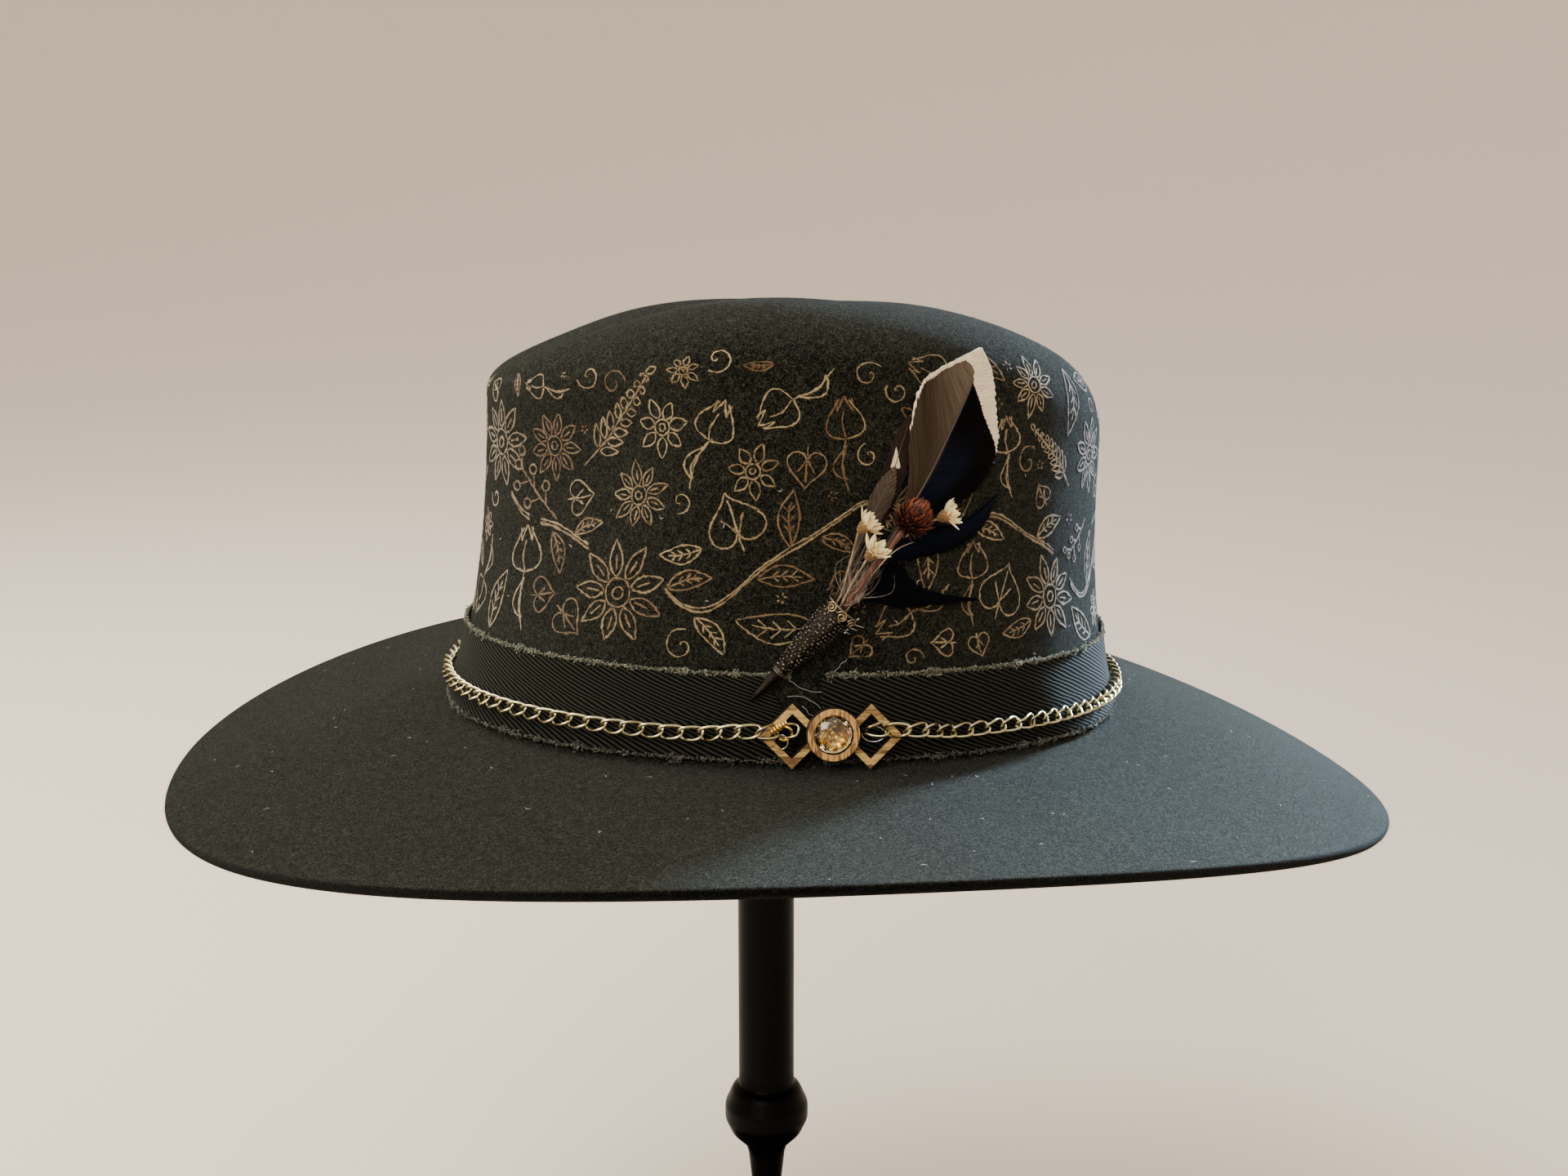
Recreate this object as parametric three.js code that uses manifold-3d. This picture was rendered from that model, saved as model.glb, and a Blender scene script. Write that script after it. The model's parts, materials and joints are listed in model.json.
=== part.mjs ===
// A wide brimmed wool felt hat on a post stand, in millimetres with +Z up.
//
// The hat's front points along -X and its trimmed side along -Y. The origin is the middle of
// the stand's underside. Trims on the crown's side have their places given as x and z across
// that side, in the hat's own frame, and as a distance out from the felt.

import * as THREE from 'three';
import { mergeVertices } from 'three/addons/utils/BufferGeometryUtils.js';
import { ConvexGeometry } from 'three/addons/geometries/ConvexGeometry.js';
import Module from 'manifold-3d';

const { abs, acos, cos, hypot, min, max, PI, sign, sin } = Math;
const { clamp, degToRad, lerp, smoothstep } = THREE.MathUtils;

const wasm = await Module();
wasm.setup();

// Driving dimensions

const gap = 0.4;               // kept between pieces that touch on the real hat
const stepsAround = 72;        // facets round the felt and the band

const crown = {
  baseHalfLength: 107,         // at the join with the brim, outside
  baseHalfWidth: 89.5,
  topHalfFront: 95.5,          // at the shoulder's foot
  topHalfBack: 96.5,
  topHalfWidth: 84,
  flare: 2.6,                  // how soon the wall leans in above the join
  frontTaper: 0.1,             // narrowing of the front, for the teardrop plan
  height: 118.5,               // of the ridge's highest point over the join
  frontDrop: 17,               // fall of the ridge to the front and to the back
  backDrop: 6.5,
  frontShoulder: 8,            // radii of the rounding between wall and top
  sideShoulder: 9,
  backShoulder: 31,
  dentDepth: 20,
  wall: 2.4,
};

const pinch = {
  depth: 5,                    // of the two finger dents beside the front
  angle: 0.72,                 // from the front, in radians
  spread: 0.34,
  rise: 0.8,                   // its middle, as a share of the wall's height
  reach: 0.3,
};

const brim = {
  halfLength: 192.5,
  halfWidth: 167.5,
  nearDrop: 3.5,               // falls of the edge below the join
  farDrop: 7,
  frontDrop: 27.5,
  backDrop: 30,
  joinDip: 3.5,                // the join itself is this much lower at front and back
  squareness: 2.14,            // exponent of the edge's oval, 2 is an ellipse
  droop: 1.35,                 // exponent of the fall from join to edge
  thick: 3,
};

const hatPose = {
  x: 6.3,                      // the crown's middle from the post's axis
  y: -1.2,
  joinHeight: 240,             // over the floor
  tipBack: degToRad(2),        // the hat sits lower at its back
  tipFar: degToRad(-0.64),     // and a little lower on its far side
};

const band = { low: 1.6, high: 26, thick: 1, endLeft: -1.708, endRight: -1.632 };

const chain = {
  height: 9.3,                 // over the join
  linkWidth: 5.4,
  linkDepth: 2.6,
  endAngle: 0.165,             // from the ornament's middle, in radians
  lean: 0.4,                   // extra room for its upright section on the leaning wall
  liftStart: 0.32,             // where it starts to climb over the wooden corners
  liftFull: 0.23,
  endRise: 2,                  // its ends also sit this much higher
  steps: 80,
  sides: 8,
};

const ornament = {
  x: -4.7,
  z: 10.5,
  diamondSide: 13,
  diamondBar: 2.1,
  diamondThick: 2.4,
  diamondShift: 11,            // of each diamond's middle from the ring's
  leftDrop: 0.8,               // the two diamonds hang a little lower than the ring
  rightDrop: 1.1,
  cornerClear: 1.7,            // the flat wood's outer corners stand off the round crown
  ringOuter: 7.35,
  ringInner: 5.45,
  ringThick: 3,
  lipInner: 4.4,               // ledge at the ring's back that the stone sits over
  lipThick: 0.8,
};

const gem = { radius: 5.1, tableRadius: 2.9, crownHeight: 1.6, girdle: 0.3, depth: 1.9, back: 1.1 };

const cone = {
  tip: { x: -27, z: 19, out: 2.9 },
  mouth: { x: -2.9, z: 46.1, out: 5.5 },
  mouthRadius: 4.75,
  lipWall: 0.85,
  cavityDepth: 4.5,
  sides: 16,
};

// Where each quill and stem stands in the cone's mouth: across it, and out from its axis
const mouthSlots = {
  main: { across: 0.2, out: -2.1 },
  navy: { across: 2.1, out: -0.6 },
  black: { across: 1.5, out: -1.8 },
  brownLong: { across: -1.1, out: -1.9 },
  brownShort: { across: -2.1, out: -0.7 },
  globe: { across: 0.5, out: 0.4 },
  star1: { across: -2.0, out: 1.1 },
  star2: { across: -0.6, out: 2.3 },
  star3: { across: 2.0, out: 1.0 },
};
const slotDepth = 2.5;

// Feathers, from just outside the cone's mouth to the tip.
// Columns: x, z, out, vane width to the left of the quill, vane width to its right
const feathers = {
  feather_main: {
    slot: 'main', thick: 1.0, color: 0x4a3d33,
    rows: [
      [1.5, 51.5, 2.9, 0.45, 0.45],
      [7.0, 58.5, 3.0, 0.5, 0.5],
      [12.5, 67.0, 3.2, 0.9, 0.9],
      [15.5, 71.5, 3.2, 1.6, 4.5],
      [18.0, 76.3, 3.5, 3.1, 9.5],
      [21.1, 81.5, 3.7, 6.8, 14.8],
      [24.5, 89.0, 4.0, 11.2, 17.5],
      [26.8, 93.8, 4.2, 12.8, 17.0],
      [28.8, 98.3, 4.4, 14.3, 14.0],
      [30.8, 102.6, 4.7, 14.2, 10.0],
      [32.2, 106.0, 5.0, 12.2, 6.2],
      [33.2, 110.0, 5.4, 9.5, 4.2],
      [33.8, 113.5, 5.8, 5.6, 2.8],
      [34.0, 116.2, 6.2, 0.6, 0.6],
    ],
  },
  feather_brown_long: {
    slot: 'brownLong', thick: 0.7, color: 0x2a211d,
    rows: [
      [0.0, 54.0, 2.0, 0.4, 0.4],
      [4.0, 62.0, 1.2, 0.6, 0.8],
      [7.5, 71.0, 1.0, 2.2, 3.0],
      [10.5, 80.0, 1.0, 3.0, 4.0],
      [13.0, 89.0, 1.0, 2.8, 4.0],
      [14.5, 94.0, 1.0, 2.2, 2.5],
      [15.2, 97.5, 1.0, 0.4, 0.4],
    ],
  },
  feather_brown_short: {
    slot: 'brownShort', thick: 0.7, color: 0x4b4138,
    rows: [
      [-1.5, 55.0, 3.4, 0.4, 0.4],
      [1.5, 62.0, 2.4, 0.8, 0.8],
      [4.8, 69.0, 2.1, 2.0, 2.6],
      [7.6, 75.0, 2.1, 3.0, 3.4],
      [9.8, 80.0, 2.1, 2.4, 2.6],
      [11.4, 83.8, 2.1, 0.4, 0.4],
    ],
  },
  feather_navy: {
    slot: 'navy', thick: 0.8, color: 0x10131f,
    rows: [
      [3.0, 51.8, 3.2, 0.45, 0.45],
      [8.5, 57.4, 2.0, 0.5, 0.9],
      [12.0, 60.8, 1.7, 1.5, 3.6],
      [16.0, 62.6, 1.6, 2.5, 5.2],
      [21.0, 63.6, 1.6, 3.0, 5.2],
      [28.0, 64.6, 1.6, 2.2, 4.8],
      [35.0, 67.4, 1.6, 1.2, 4.2],
      [40.0, 71.2, 1.7, 0.8, 2.6],
      [43.6, 75.0, 1.8, 0.3, 0.3],
    ],
  },
  feather_black: {
    slot: 'black', thick: 0.8, color: 0x0d0f18,
    rows: [
      [2.6, 47.4, 2.6, 0.45, 0.45],
      [8.0, 48.2, 1.5, 2.0, 1.6],
      [14.0, 48.0, 1.3, 3.8, 3.3],
      [20.5, 47.0, 1.3, 2.4, 2.4],
      [28.0, 46.2, 1.4, 1.2, 1.2],
      [34.0, 45.8, 1.6, 0.7, 0.7],
      [38.2, 45.5, 1.8, 0.3, 0.3],
    ],
  },
};

// Flower heads on their stems
const flowers = {
  flower_globe: { slot: 'globe', x: 15.0, z: 71.0, out: 9.9, radius: 5.6, stemRadius: 0.6 },
  flower_star_1: { slot: 'star1', x: 2.9, z: 69.2, out: 7.6, radius: 4.1, stemRadius: 0.35 },
  flower_star_2: { slot: 'star2', x: 4.6, z: 62.6, out: 12.0, radius: 4.1, stemRadius: 0.35 },
  flower_star_3: { slot: 'star3', x: 26.0, z: 71.5, out: 8.6, radius: 4.1, stemRadius: 0.35 },
};

const stand = {
  baseRadius: 82,
  baseThick: 8,
  baseEdge: 1.5,
  // Columns: radius, height over the floor. Rod, neck, rounded collar and foot of the post
  post: [[5, 60], [6.3, 72], [7.3, 75], [12, 80], [14.2, 85], [14.2, 90], [11.6, 96], [9.4, 98]],
  // Columns: radius, height over the cap's underside
  cap: [[23, 0], [27, 2.4], [28, 3.9], [27.3, 5.4], [25.8, 6]],
};

// Shape of the felt

function shoulderRadius(angle) {
  const c = cos(angle);
  const end = c < 0 ? crown.frontShoulder : crown.backShoulder;
  return lerp(crown.sideShoulder, end, c * c);
}

// Height of the ridge over the join, at x as a share of the crown's half length
function ridgeHeight(share) {
  const drop = share < 0 ? crown.frontDrop * (-share) ** 2.4 : crown.backDrop * share ** 3;
  return crown.height - drop;
}

// Depth of the two front dents at an angle round the crown and a rise up its wall
function pinchDepth(angle, rise) {
  const fromFront = acos(clamp(-cos(angle), -1, 1));
  const beside = (fromFront - pinch.angle) / pinch.spread;
  const above = (rise - pinch.rise) / pinch.reach;
  return pinch.depth * Math.exp(-beside * beside - above * above);
}

// Point on the crown's wall: rise is 0 at the join and 1 at the shoulder's foot
function wallPoint(angle, rise) {
  const c = cos(angle);
  const lean = 1 - (1 - rise) ** crown.flare;
  const topHalf = c < 0 ? crown.topHalfFront : crown.topHalfBack;
  const x = lerp(crown.baseHalfLength, topHalf, lean) * c;
  const narrowing = 1 - crown.frontTaper * lean * max(-c, 0) ** 2;
  const y = lerp(crown.baseHalfWidth, crown.topHalfWidth, lean) * sin(angle) * narrowing;
  const kept = 1 - pinchDepth(angle, rise) / hypot(x, y);
  const z = lerp(-brim.joinDip * c * c, ridgeHeight(c) - shoulderRadius(angle), rise);
  return new THREE.Vector3(x * kept, y * kept, z);
}

// Point on the rounding above the wall: turn is 0 at its foot and 1 on the ridge
function shoulderPoint(angle, turn) {
  const foot = wallPoint(angle, 1);
  const radius = shoulderRadius(angle);
  const kept = 1 - radius * (1 - cos(turn * PI / 2)) / hypot(foot.x, foot.y);
  return new THREE.Vector3(foot.x * kept, foot.y * kept, foot.z + radius * sin(turn * PI / 2));
}

// Point on the dented top: share is 1 on the ridge and 0 in the middle
function topPoint(angle, share) {
  const ridge = shoulderPoint(angle, 1);
  const topHalf = ridge.x < 0 ? crown.topHalfFront : crown.topHalfBack;
  const rest = ridge.z - ridgeHeight(ridge.x / topHalf);
  const dent = crown.dentDepth * (1 - share * share) ** 1.5;
  const z = ridgeHeight(ridge.x * share / topHalf) + rest * share * share - dent;
  return new THREE.Vector3(ridge.x * share, ridge.y * share, z);
}

// Point on the brim's upper face: share is 0 at the join and 1 at the edge
function brimPoint(angle, share) {
  const c = cos(angle);
  const s = sin(angle);
  const edgeX = brim.halfLength * sign(c) * abs(c) ** (2 / brim.squareness);
  const edgeY = brim.halfWidth * sign(s) * abs(s) ** (2 / brim.squareness);
  const sideDrop = lerp(brim.nearDrop, brim.farDrop, (s + 1) / 2);
  const edgeZ = -lerp(sideDrop, c < 0 ? brim.frontDrop : brim.backDrop, c * c);
  return new THREE.Vector3(
    lerp(crown.baseHalfLength * c, edgeX, share),
    lerp(crown.baseHalfWidth * s, edgeY, share),
    lerp(-brim.joinDip * c * c, edgeZ, share ** brim.droop),
  );
}

// Outward direction of the wall at an angle and a rise
function wallNormal(angle, rise) {
  const step = 0.001;
  const around = wallPoint(angle + step, rise).sub(wallPoint(angle - step, rise));
  const upward = wallPoint(angle, min(rise + step, 1)).sub(wallPoint(angle, max(rise - step, 0)));
  return around.cross(upward).normalize();
}

// Point a height over the join and a distance out from the crown's wall
function aroundCrown(angle, height, out) {
  const foot = wallPoint(angle, 0).z;
  const rise = height / (wallPoint(angle, 1).z - foot);
  return wallPoint(angle, rise).addScaledVector(wallNormal(angle, rise), out);
}

// Angle and rise of the point on the crown's near side that has this x and z
function findOnSide(x, z) {
  let angle = -PI / 2;
  let rise = 0.5;
  for (let pass = 0; pass < 8; pass += 1) {
    const foot = wallPoint(angle, 0).z;
    rise = clamp((z - foot) / (wallPoint(angle, 1).z - foot), 0, 1);
    angle -= (x - wallPoint(angle, rise).x) / (crown.baseHalfLength * sin(angle));
  }
  return { angle, rise };
}

// Point in front of the crown's near side. Above the wall it stays in line with the wall's top
function onSide(x, z, out) {
  const { angle, rise } = findOnSide(x, z);
  return new THREE.Vector3(x, wallPoint(angle, rise).y - out, z);
}

// Bodies from loops of points

function geometryFrom(positions, index) {
  const geometry = new THREE.BufferGeometry();
  geometry.setAttribute('position', new THREE.Float32BufferAttribute(positions, 3));
  geometry.setIndex(index);
  geometry.computeVertexNormals();
  return geometry;
}

function middleOf(loop) {
  const sum = new THREE.Vector3();
  loop.forEach((point) => sum.add(point));
  return sum.divideScalar(loop.length);
}

// Six times the volume that indexed triangles enclose, negative when they face inward
function signedVolume(points, index) {
  let total = 0;
  for (let i = 0; i < index.length; i += 3) {
    const [a, b, c] = [points[index[i]], points[index[i + 1]], points[index[i + 2]]];
    total += a.dot(b.clone().cross(c));
  }
  return total;
}

// Closed body through loops that all hold the same number of points, with a fan on each end
function loft(loops, startTip = middleOf(loops[0]), endTip = middleOf(loops.at(-1))) {
  const count = loops[0].length;
  const points = [...loops.flat(), startTip, endTip];
  const start = points.length - 2;
  const end = points.length - 1;
  const lastLoop = (loops.length - 1) * count;
  const index = [];
  for (let i = 0; i < count; i += 1) {
    const next = (i + 1) % count;
    index.push(start, next, i, end, lastLoop + i, lastLoop + next);
    for (let base = 0; base < lastLoop; base += count) {
      const [a, b, c, d] = [base + i, base + next, base + count + i, base + count + next];
      index.push(a, b, d, a, d, c);
    }
  }
  if (signedVolume(points, index) < 0) index.reverse();
  return geometryFrom(points.flatMap((point) => point.toArray()), index);
}

function toManifold(geometry) {
  const bare = geometry.clone();
  bare.deleteAttribute('normal');
  bare.deleteAttribute('uv');
  const merged = mergeVertices(bare, 1e-4);
  return new wasm.Manifold(new wasm.Mesh({
    numProp: 3,
    vertProperties: new Float32Array(merged.attributes.position.array),
    triVerts: new Uint32Array(merged.index.array),
  }));
}

// One body from closed geometries that run into each other
function fuse(geometries) {
  const solids = geometries.map(toManifold);
  const mesh = solids.reduce((whole, solid) => whole.add(solid)).getMesh();
  return geometryFrom([...mesh.vertProperties], [...mesh.triVerts]);
}

// Felt body

function feltGeometry() {
  const angles = Array.from({ length: stepsAround }, (_, i) => 2 * PI * i / stepsAround);
  const joinEase = 0.012;      // the sharp join is eased over about a millimetre
  const ring = (place, share) => angles.map((angle) => place(angle, share));
  const crownRings = [
    ...[0.2, 0.4, 0.6, 0.8].map((share) => ring(topPoint, share)),
    ...[1, 0.67, 0.33].map((turn) => ring(shoulderPoint, turn)),
    ...[1, 0.75, 0.5, 0.28, 0.12, joinEase].map((rise) => ring(wallPoint, rise)),
  ];
  const brimRings = [0.03, 0.25, 0.5, 0.75, 1].map((share) => ring(brimPoint, share));
  const outside = [...crownRings, ...brimRings];
  const inside = outside.map((loop, row) => {
    const before = outside[max(row - 1, 0)];
    const after = outside[min(row + 1, outside.length - 1)];
    const thick = row < crownRings.length ? crown.wall : brim.thick;
    return loop.map((point, i) => {
      const left = loop[(i + stepsAround - 1) % stepsAround];
      const right = loop[(i + 1) % stepsAround];
      const normal = after[i].clone().sub(before[i]).cross(right.clone().sub(left)).normalize();
      return point.clone().addScaledVector(normal, -thick);
    });
  });
  const middle = topPoint(0, 0);
  const under = middle.clone().setZ(middle.z - crown.wall);
  return loft([...outside, ...inside.reverse()], middle, under);
}

// Trims round the crown

// An open strip whose two raw ends leave a gap behind the ornament
function bandGeometry() {
  const start = band.endRight;
  const sweep = 2 * PI - (band.endRight - band.endLeft);
  const sections = Array.from({ length: stepsAround + 1 }, (_, i) => {
    const angle = start + sweep * i / stepsAround;
    const corner = (height, out) => aroundCrown(angle, height, out);
    return [
      corner(band.low, gap),
      corner(band.high, gap),
      corner(band.high, gap + band.thick),
      corner(band.low, gap + band.thick),
    ];
  });
  return loft(sections);
}

// The chain's outer form: a flat oval tube that lies on the band and ends over the ornament
function chainGeometry() {
  const { angle: middle } = findOnSide(ornament.x, ornament.z);
  const onBand = gap + band.thick + gap + chain.linkDepth / 2 + chain.lean;
  const overWood = onBand + ornament.diamondThick + gap + ornament.cornerClear;
  const points = Array.from({ length: chain.steps + 1 }, (_, i) => {
    const turned = lerp(chain.endAngle, 2 * PI - chain.endAngle, i / chain.steps);
    const fromMiddle = min(turned, 2 * PI - turned);
    const lift = 1 - smoothstep(fromMiddle, chain.liftFull, chain.liftStart);
    const height = chain.height + chain.endRise * lift;
    return aroundCrown(middle + turned, height, lerp(onBand, overWood, lift));
  });
  const section = new THREE.Shape();
  section.absellipse(0, 0, chain.linkWidth / 2, chain.linkDepth / 2, 0, 2 * PI);
  return new THREE.ExtrudeGeometry(section, {
    extrudePath: new THREE.CatmullRomCurve3(points),
    steps: chain.steps,
    curveSegments: chain.sides / 2,          // an ellipse takes twice as many
  });
}

// Ornament: two square frames on point, a ring over their inner corners, and its stone

function diamondGeometry() {
  const corners = (halfDiagonal) => [
    new THREE.Vector2(halfDiagonal, 0),
    new THREE.Vector2(0, halfDiagonal),
    new THREE.Vector2(-halfDiagonal, 0),
    new THREE.Vector2(0, -halfDiagonal),
  ];
  const opening = ornament.diamondSide - 2 * ornament.diamondBar;
  const frame = new THREE.Shape(corners(ornament.diamondSide * Math.SQRT1_2));
  frame.holes.push(new THREE.Path(corners(opening * Math.SQRT1_2)));
  return new THREE.ExtrudeGeometry(frame, { depth: ornament.diamondThick, bevelEnabled: false });
}

function ringGeometry() {
  const profile = [
    [ornament.lipInner, 0],
    [ornament.ringOuter, 0],
    [ornament.ringOuter, ornament.ringThick],
    [ornament.ringInner, ornament.ringThick],
    [ornament.ringInner, ornament.lipThick],
    [ornament.lipInner, ornament.lipThick],
    [ornament.lipInner, 0],
  ];
  const points = profile.map(([radius, height]) => new THREE.Vector2(radius, height));
  return new THREE.LatheGeometry(points, 32).rotateX(PI / 2);
}

// Round brilliant: an eight sided table, star and girdle facets, and a flat foiled back
function gemGeometry() {
  const starRadius = lerp(gem.tableRadius, gem.radius, 0.55);
  const girdleTop = gem.depth + gem.girdle;
  const rings = [
    { count: 8, turn: 0, radius: gem.tableRadius, height: girdleTop + gem.crownHeight },
    { count: 8, turn: 0.5, radius: starRadius, height: girdleTop + gem.crownHeight * 0.62 },
    { count: 16, turn: 0, radius: gem.radius, height: girdleTop },
    { count: 16, turn: 0, radius: gem.radius, height: gem.depth },
    { count: 8, turn: 0, radius: gem.back, height: 0 },
  ];
  const points = rings.flatMap(({ count, turn, radius, height }) => (
    Array.from({ length: count }, (_, i) => {
      const angle = 2 * PI * (i + turn) / count;
      return new THREE.Vector3(radius * cos(angle), radius * sin(angle), height);
    })
  ));
  return mergeVertices(new ConvexGeometry(points));
}

// Pin: a bronze cone that holds feathers and dried flowers

const coneTip = onSide(cone.tip.x, cone.tip.z, cone.tip.out);
const coneMouth = onSide(cone.mouth.x, cone.mouth.z, cone.mouth.out);
const coneAxis = coneMouth.clone().sub(coneTip).normalize();
const coneLength = coneMouth.distanceTo(coneTip);

// Point inside the cone's mouth where a quill or stem ends
function slotPoint({ across, out }) {
  const side = new THREE.Vector3(coneAxis.z, 0, -coneAxis.x).normalize();
  const outward = side.clone().cross(coneAxis).normalize();
  if (outward.y > 0) outward.negate();
  return coneMouth.clone()
    .addScaledVector(coneAxis, -slotDepth)
    .addScaledVector(side, across)
    .addScaledVector(outward, out);
}

// Columns of the profile: share of the length from the tip, share of the mouth's radius
function coneGeometry() {
  const profile = [
    [0, 0], [0, 0.08], [0.08, 0.19], [0.31, 0.36], [0.34, 0.43], [0.58, 0.7], [0.8, 0.9], [1, 1],
  ].map(([along, share]) => new THREE.Vector2(cone.mouthRadius * share, coneLength * along));
  const cavity = [
    [cone.mouthRadius - cone.lipWall, coneLength],
    [cone.mouthRadius - cone.lipWall * 1.4, coneLength - cone.cavityDepth],
    [0, coneLength - cone.cavityDepth],
  ].map(([radius, along]) => new THREE.Vector2(radius, along));
  return new THREE.LatheGeometry([...profile, ...cavity], cone.sides);
}

// Three small coiled rosettes lie across the front of the cone's lip
function rosetteGeometries() {
  const rosette = { radius: 1.7, thick: 1.1, spacing: 0.72, belowLip: 1.6 };
  return [-1, 0, 1].map((place) => {
    const disc = new THREE.CylinderGeometry(rosette.radius, rosette.radius, rosette.thick, 10);
    disc.rotateX(PI / 2);
    disc.translate(0, coneLength - rosette.belowLip, cone.mouthRadius * 0.97);
    disc.rotateY(place * rosette.spacing);
    return disc;
  });
}

function featherGeometry({ slot, thick, rows }) {
  const start = slotPoint(mouthSlots[slot]);
  const quill = 0.45;
  const sections = rows.map(([x, z, out, left, right], i) => {
    const [fromX, fromZ] = i > 0 ? rows[i - 1] : [start.x, start.z];
    const [toX, toZ] = rows[min(i + 1, rows.length - 1)];
    const length = hypot(toX - fromX, toZ - fromZ);
    const acrossX = (toZ - fromZ) / length;
    const acrossZ = -(toX - fromX) / length;
    const at = (width, lift) => onSide(x + acrossX * width, z + acrossZ * width, out + lift);
    return [at(-left, 0), at(0, -thick / 2), at(right, 0), at(0, thick / 2)];
  });
  const base = [[-1, 0, 0], [0, 1, 0], [1, 0, 0], [0, -1, 0]].map(([x, y, z]) => (
    new THREE.Vector3(x * coneAxis.z, y, -x * coneAxis.x + z).multiplyScalar(quill).add(start)
  ));
  return loft([base, ...sections]);
}

// Stem along +Y from the cone's mouth to the head
function stemGeometry(length, radius) {
  return new THREE.CylinderGeometry(radius, radius, length, 6).translate(0, length / 2, 0);
}

function globeFlowerGeometry(length, { radius, stemRadius }) {
  const head = new THREE.IcosahedronGeometry(radius, 2).scale(1, 0.92, 1).translate(0, length, 0);
  return fuse([stemGeometry(length - radius * 0.6, stemRadius), head]);
}

// A cup of eight pointed petals that opens along +Y
function starFlowerGeometry(length, { radius, stemRadius }) {
  const cup = { foot: length - radius * 0.75, height: radius * 0.85, width: radius * 0.5 };
  const petal = { count: 8, length: radius * 0.62, width: radius * 0.26, thick: 0.35, lean: 0.75 };
  const calyx = new THREE.CylinderGeometry(cup.width, stemRadius * 1.4, cup.height, 8);
  calyx.translate(0, cup.foot + cup.height / 2, 0);
  const petals = Array.from({ length: petal.count }, (_, i) => {
    const blade = new THREE.OctahedronGeometry(1).scale(petal.width, petal.length, petal.thick);
    blade.translate(0, petal.length * 0.7, 0).rotateX(petal.lean);
    blade.translate(0, cup.foot + cup.height * 0.75, cup.width * 0.72);
    return blade.rotateY(2 * PI * i / petal.count);
  });
  return fuse([stemGeometry(cup.foot + 0.5, stemRadius), calyx, ...petals]);
}

// Stand

// Body turned round +Z from columns of radius and height, closed on the axis at both ends
function turned(profile, sides) {
  const closed = [[0, profile[0][1]], ...profile, [0, profile.at(-1)[1]]];
  const points = closed.map(([radius, height]) => new THREE.Vector2(radius, height));
  return new THREE.LatheGeometry(points, sides).rotateX(PI / 2);
}

function baseGeometry() {
  const { baseRadius, baseThick, baseEdge } = stand;
  const edgeLow = [baseRadius, baseThick - baseEdge];
  return turned([[baseRadius, 0], edgeLow, [baseRadius - baseEdge, baseThick]], 64);
}

function postGeometry(top) {
  const [rodRadius] = stand.post[0];
  const [postRadius] = stand.post.at(-1);
  return turned([[rodRadius, stand.baseThick + gap], ...stand.post, [postRadius, top]], 24);
}

// The scene graph

function addMesh(parent, name, geometry, look) {
  const mesh = new THREE.Mesh(geometry, new THREE.MeshStandardMaterial({ metalness: 0, ...look }));
  mesh.name = name;
  parent.add(mesh);
  return mesh;
}

// Turns a group so that its own +Y points along a direction
function alignY(object, direction) {
  object.quaternion.setFromUnitVectors(new THREE.Vector3(0, 1, 0), direction.clone().normalize());
}

function buildOrnament() {
  const group = new THREE.Group();
  const { angle, rise } = findOnSide(ornament.x, ornament.z);
  const outward = wallNormal(angle, rise);
  const upward = wallNormal(angle, rise).cross(new THREE.Vector3(1, 0, 0)).normalize();
  const along = upward.clone().cross(outward);
  group.position.copy(wallPoint(angle, rise));
  group.quaternion.setFromRotationMatrix(new THREE.Matrix4().makeBasis(along, upward, outward));
  const diamondBack = gap + band.thick + gap;
  const ringBack = diamondBack + ornament.diamondThick + gap;
  const wood = { color: 0x8a5f38, roughness: 0.7 };
  const left = addMesh(group, 'wood_diamond_left', diamondGeometry(), wood);
  left.position.set(-ornament.diamondShift, -ornament.leftDrop, diamondBack);
  const right = addMesh(group, 'wood_diamond_right', diamondGeometry(), wood);
  right.position.set(ornament.diamondShift, -ornament.rightDrop, diamondBack);
  const ring = addMesh(group, 'wood_ring', ringGeometry(), { color: 0x6b4329, roughness: 0.7 });
  ring.position.z = ringBack;
  const stone = addMesh(group, 'gem', gemGeometry(), { color: 0xb98a4a, roughness: 0.05 });
  stone.position.z = ringBack + 0.1;
  return group;
}

function buildPin() {
  const group = new THREE.Group();
  const coneBody = addMesh(group, 'pin_cone', fuse([coneGeometry(), ...rosetteGeometries()]), {
    color: 0x4a4038,
    roughness: 0.4,
    metalness: 0.9,
  });
  coneBody.position.copy(coneTip);
  alignY(coneBody, coneAxis);
  for (const [name, feather] of Object.entries(feathers)) {
    addMesh(group, name, featherGeometry(feather), { color: feather.color, roughness: 0.8 });
  }
  for (const [name, flower] of Object.entries(flowers)) {
    const start = slotPoint(mouthSlots[flower.slot]);
    const stem = onSide(flower.x, flower.z, flower.out).sub(start);
    const isGlobe = name === 'flower_globe';
    const makeHead = isGlobe ? globeFlowerGeometry : starFlowerGeometry;
    const color = isGlobe ? 0x6a2f1e : 0xe8dcc0;
    const head = addMesh(group, name, makeHead(stem.length(), flower), { color, roughness: 0.9 });
    head.position.copy(start);
    alignY(head, stem);
  }
  return group;
}

function buildHat() {
  const hat = new THREE.Group();
  hat.position.set(hatPose.x, hatPose.y, hatPose.joinHeight);
  hat.rotation.set(hatPose.tipFar, hatPose.tipBack, 0, 'YXZ');
  addMesh(hat, 'felt_body', feltGeometry(), { color: 0x2e2f27, roughness: 1 });
  addMesh(hat, 'hat_band', bandGeometry(), { color: 0x1b1a16, roughness: 0.9 });
  const gold = { color: 0xd9c48f, roughness: 0.25, metalness: 1 };
  addMesh(hat, 'chain', chainGeometry(), gold);
  hat.add(buildOrnament(), buildPin());
  hat.updateMatrixWorld(true);
  return hat;
}

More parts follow.
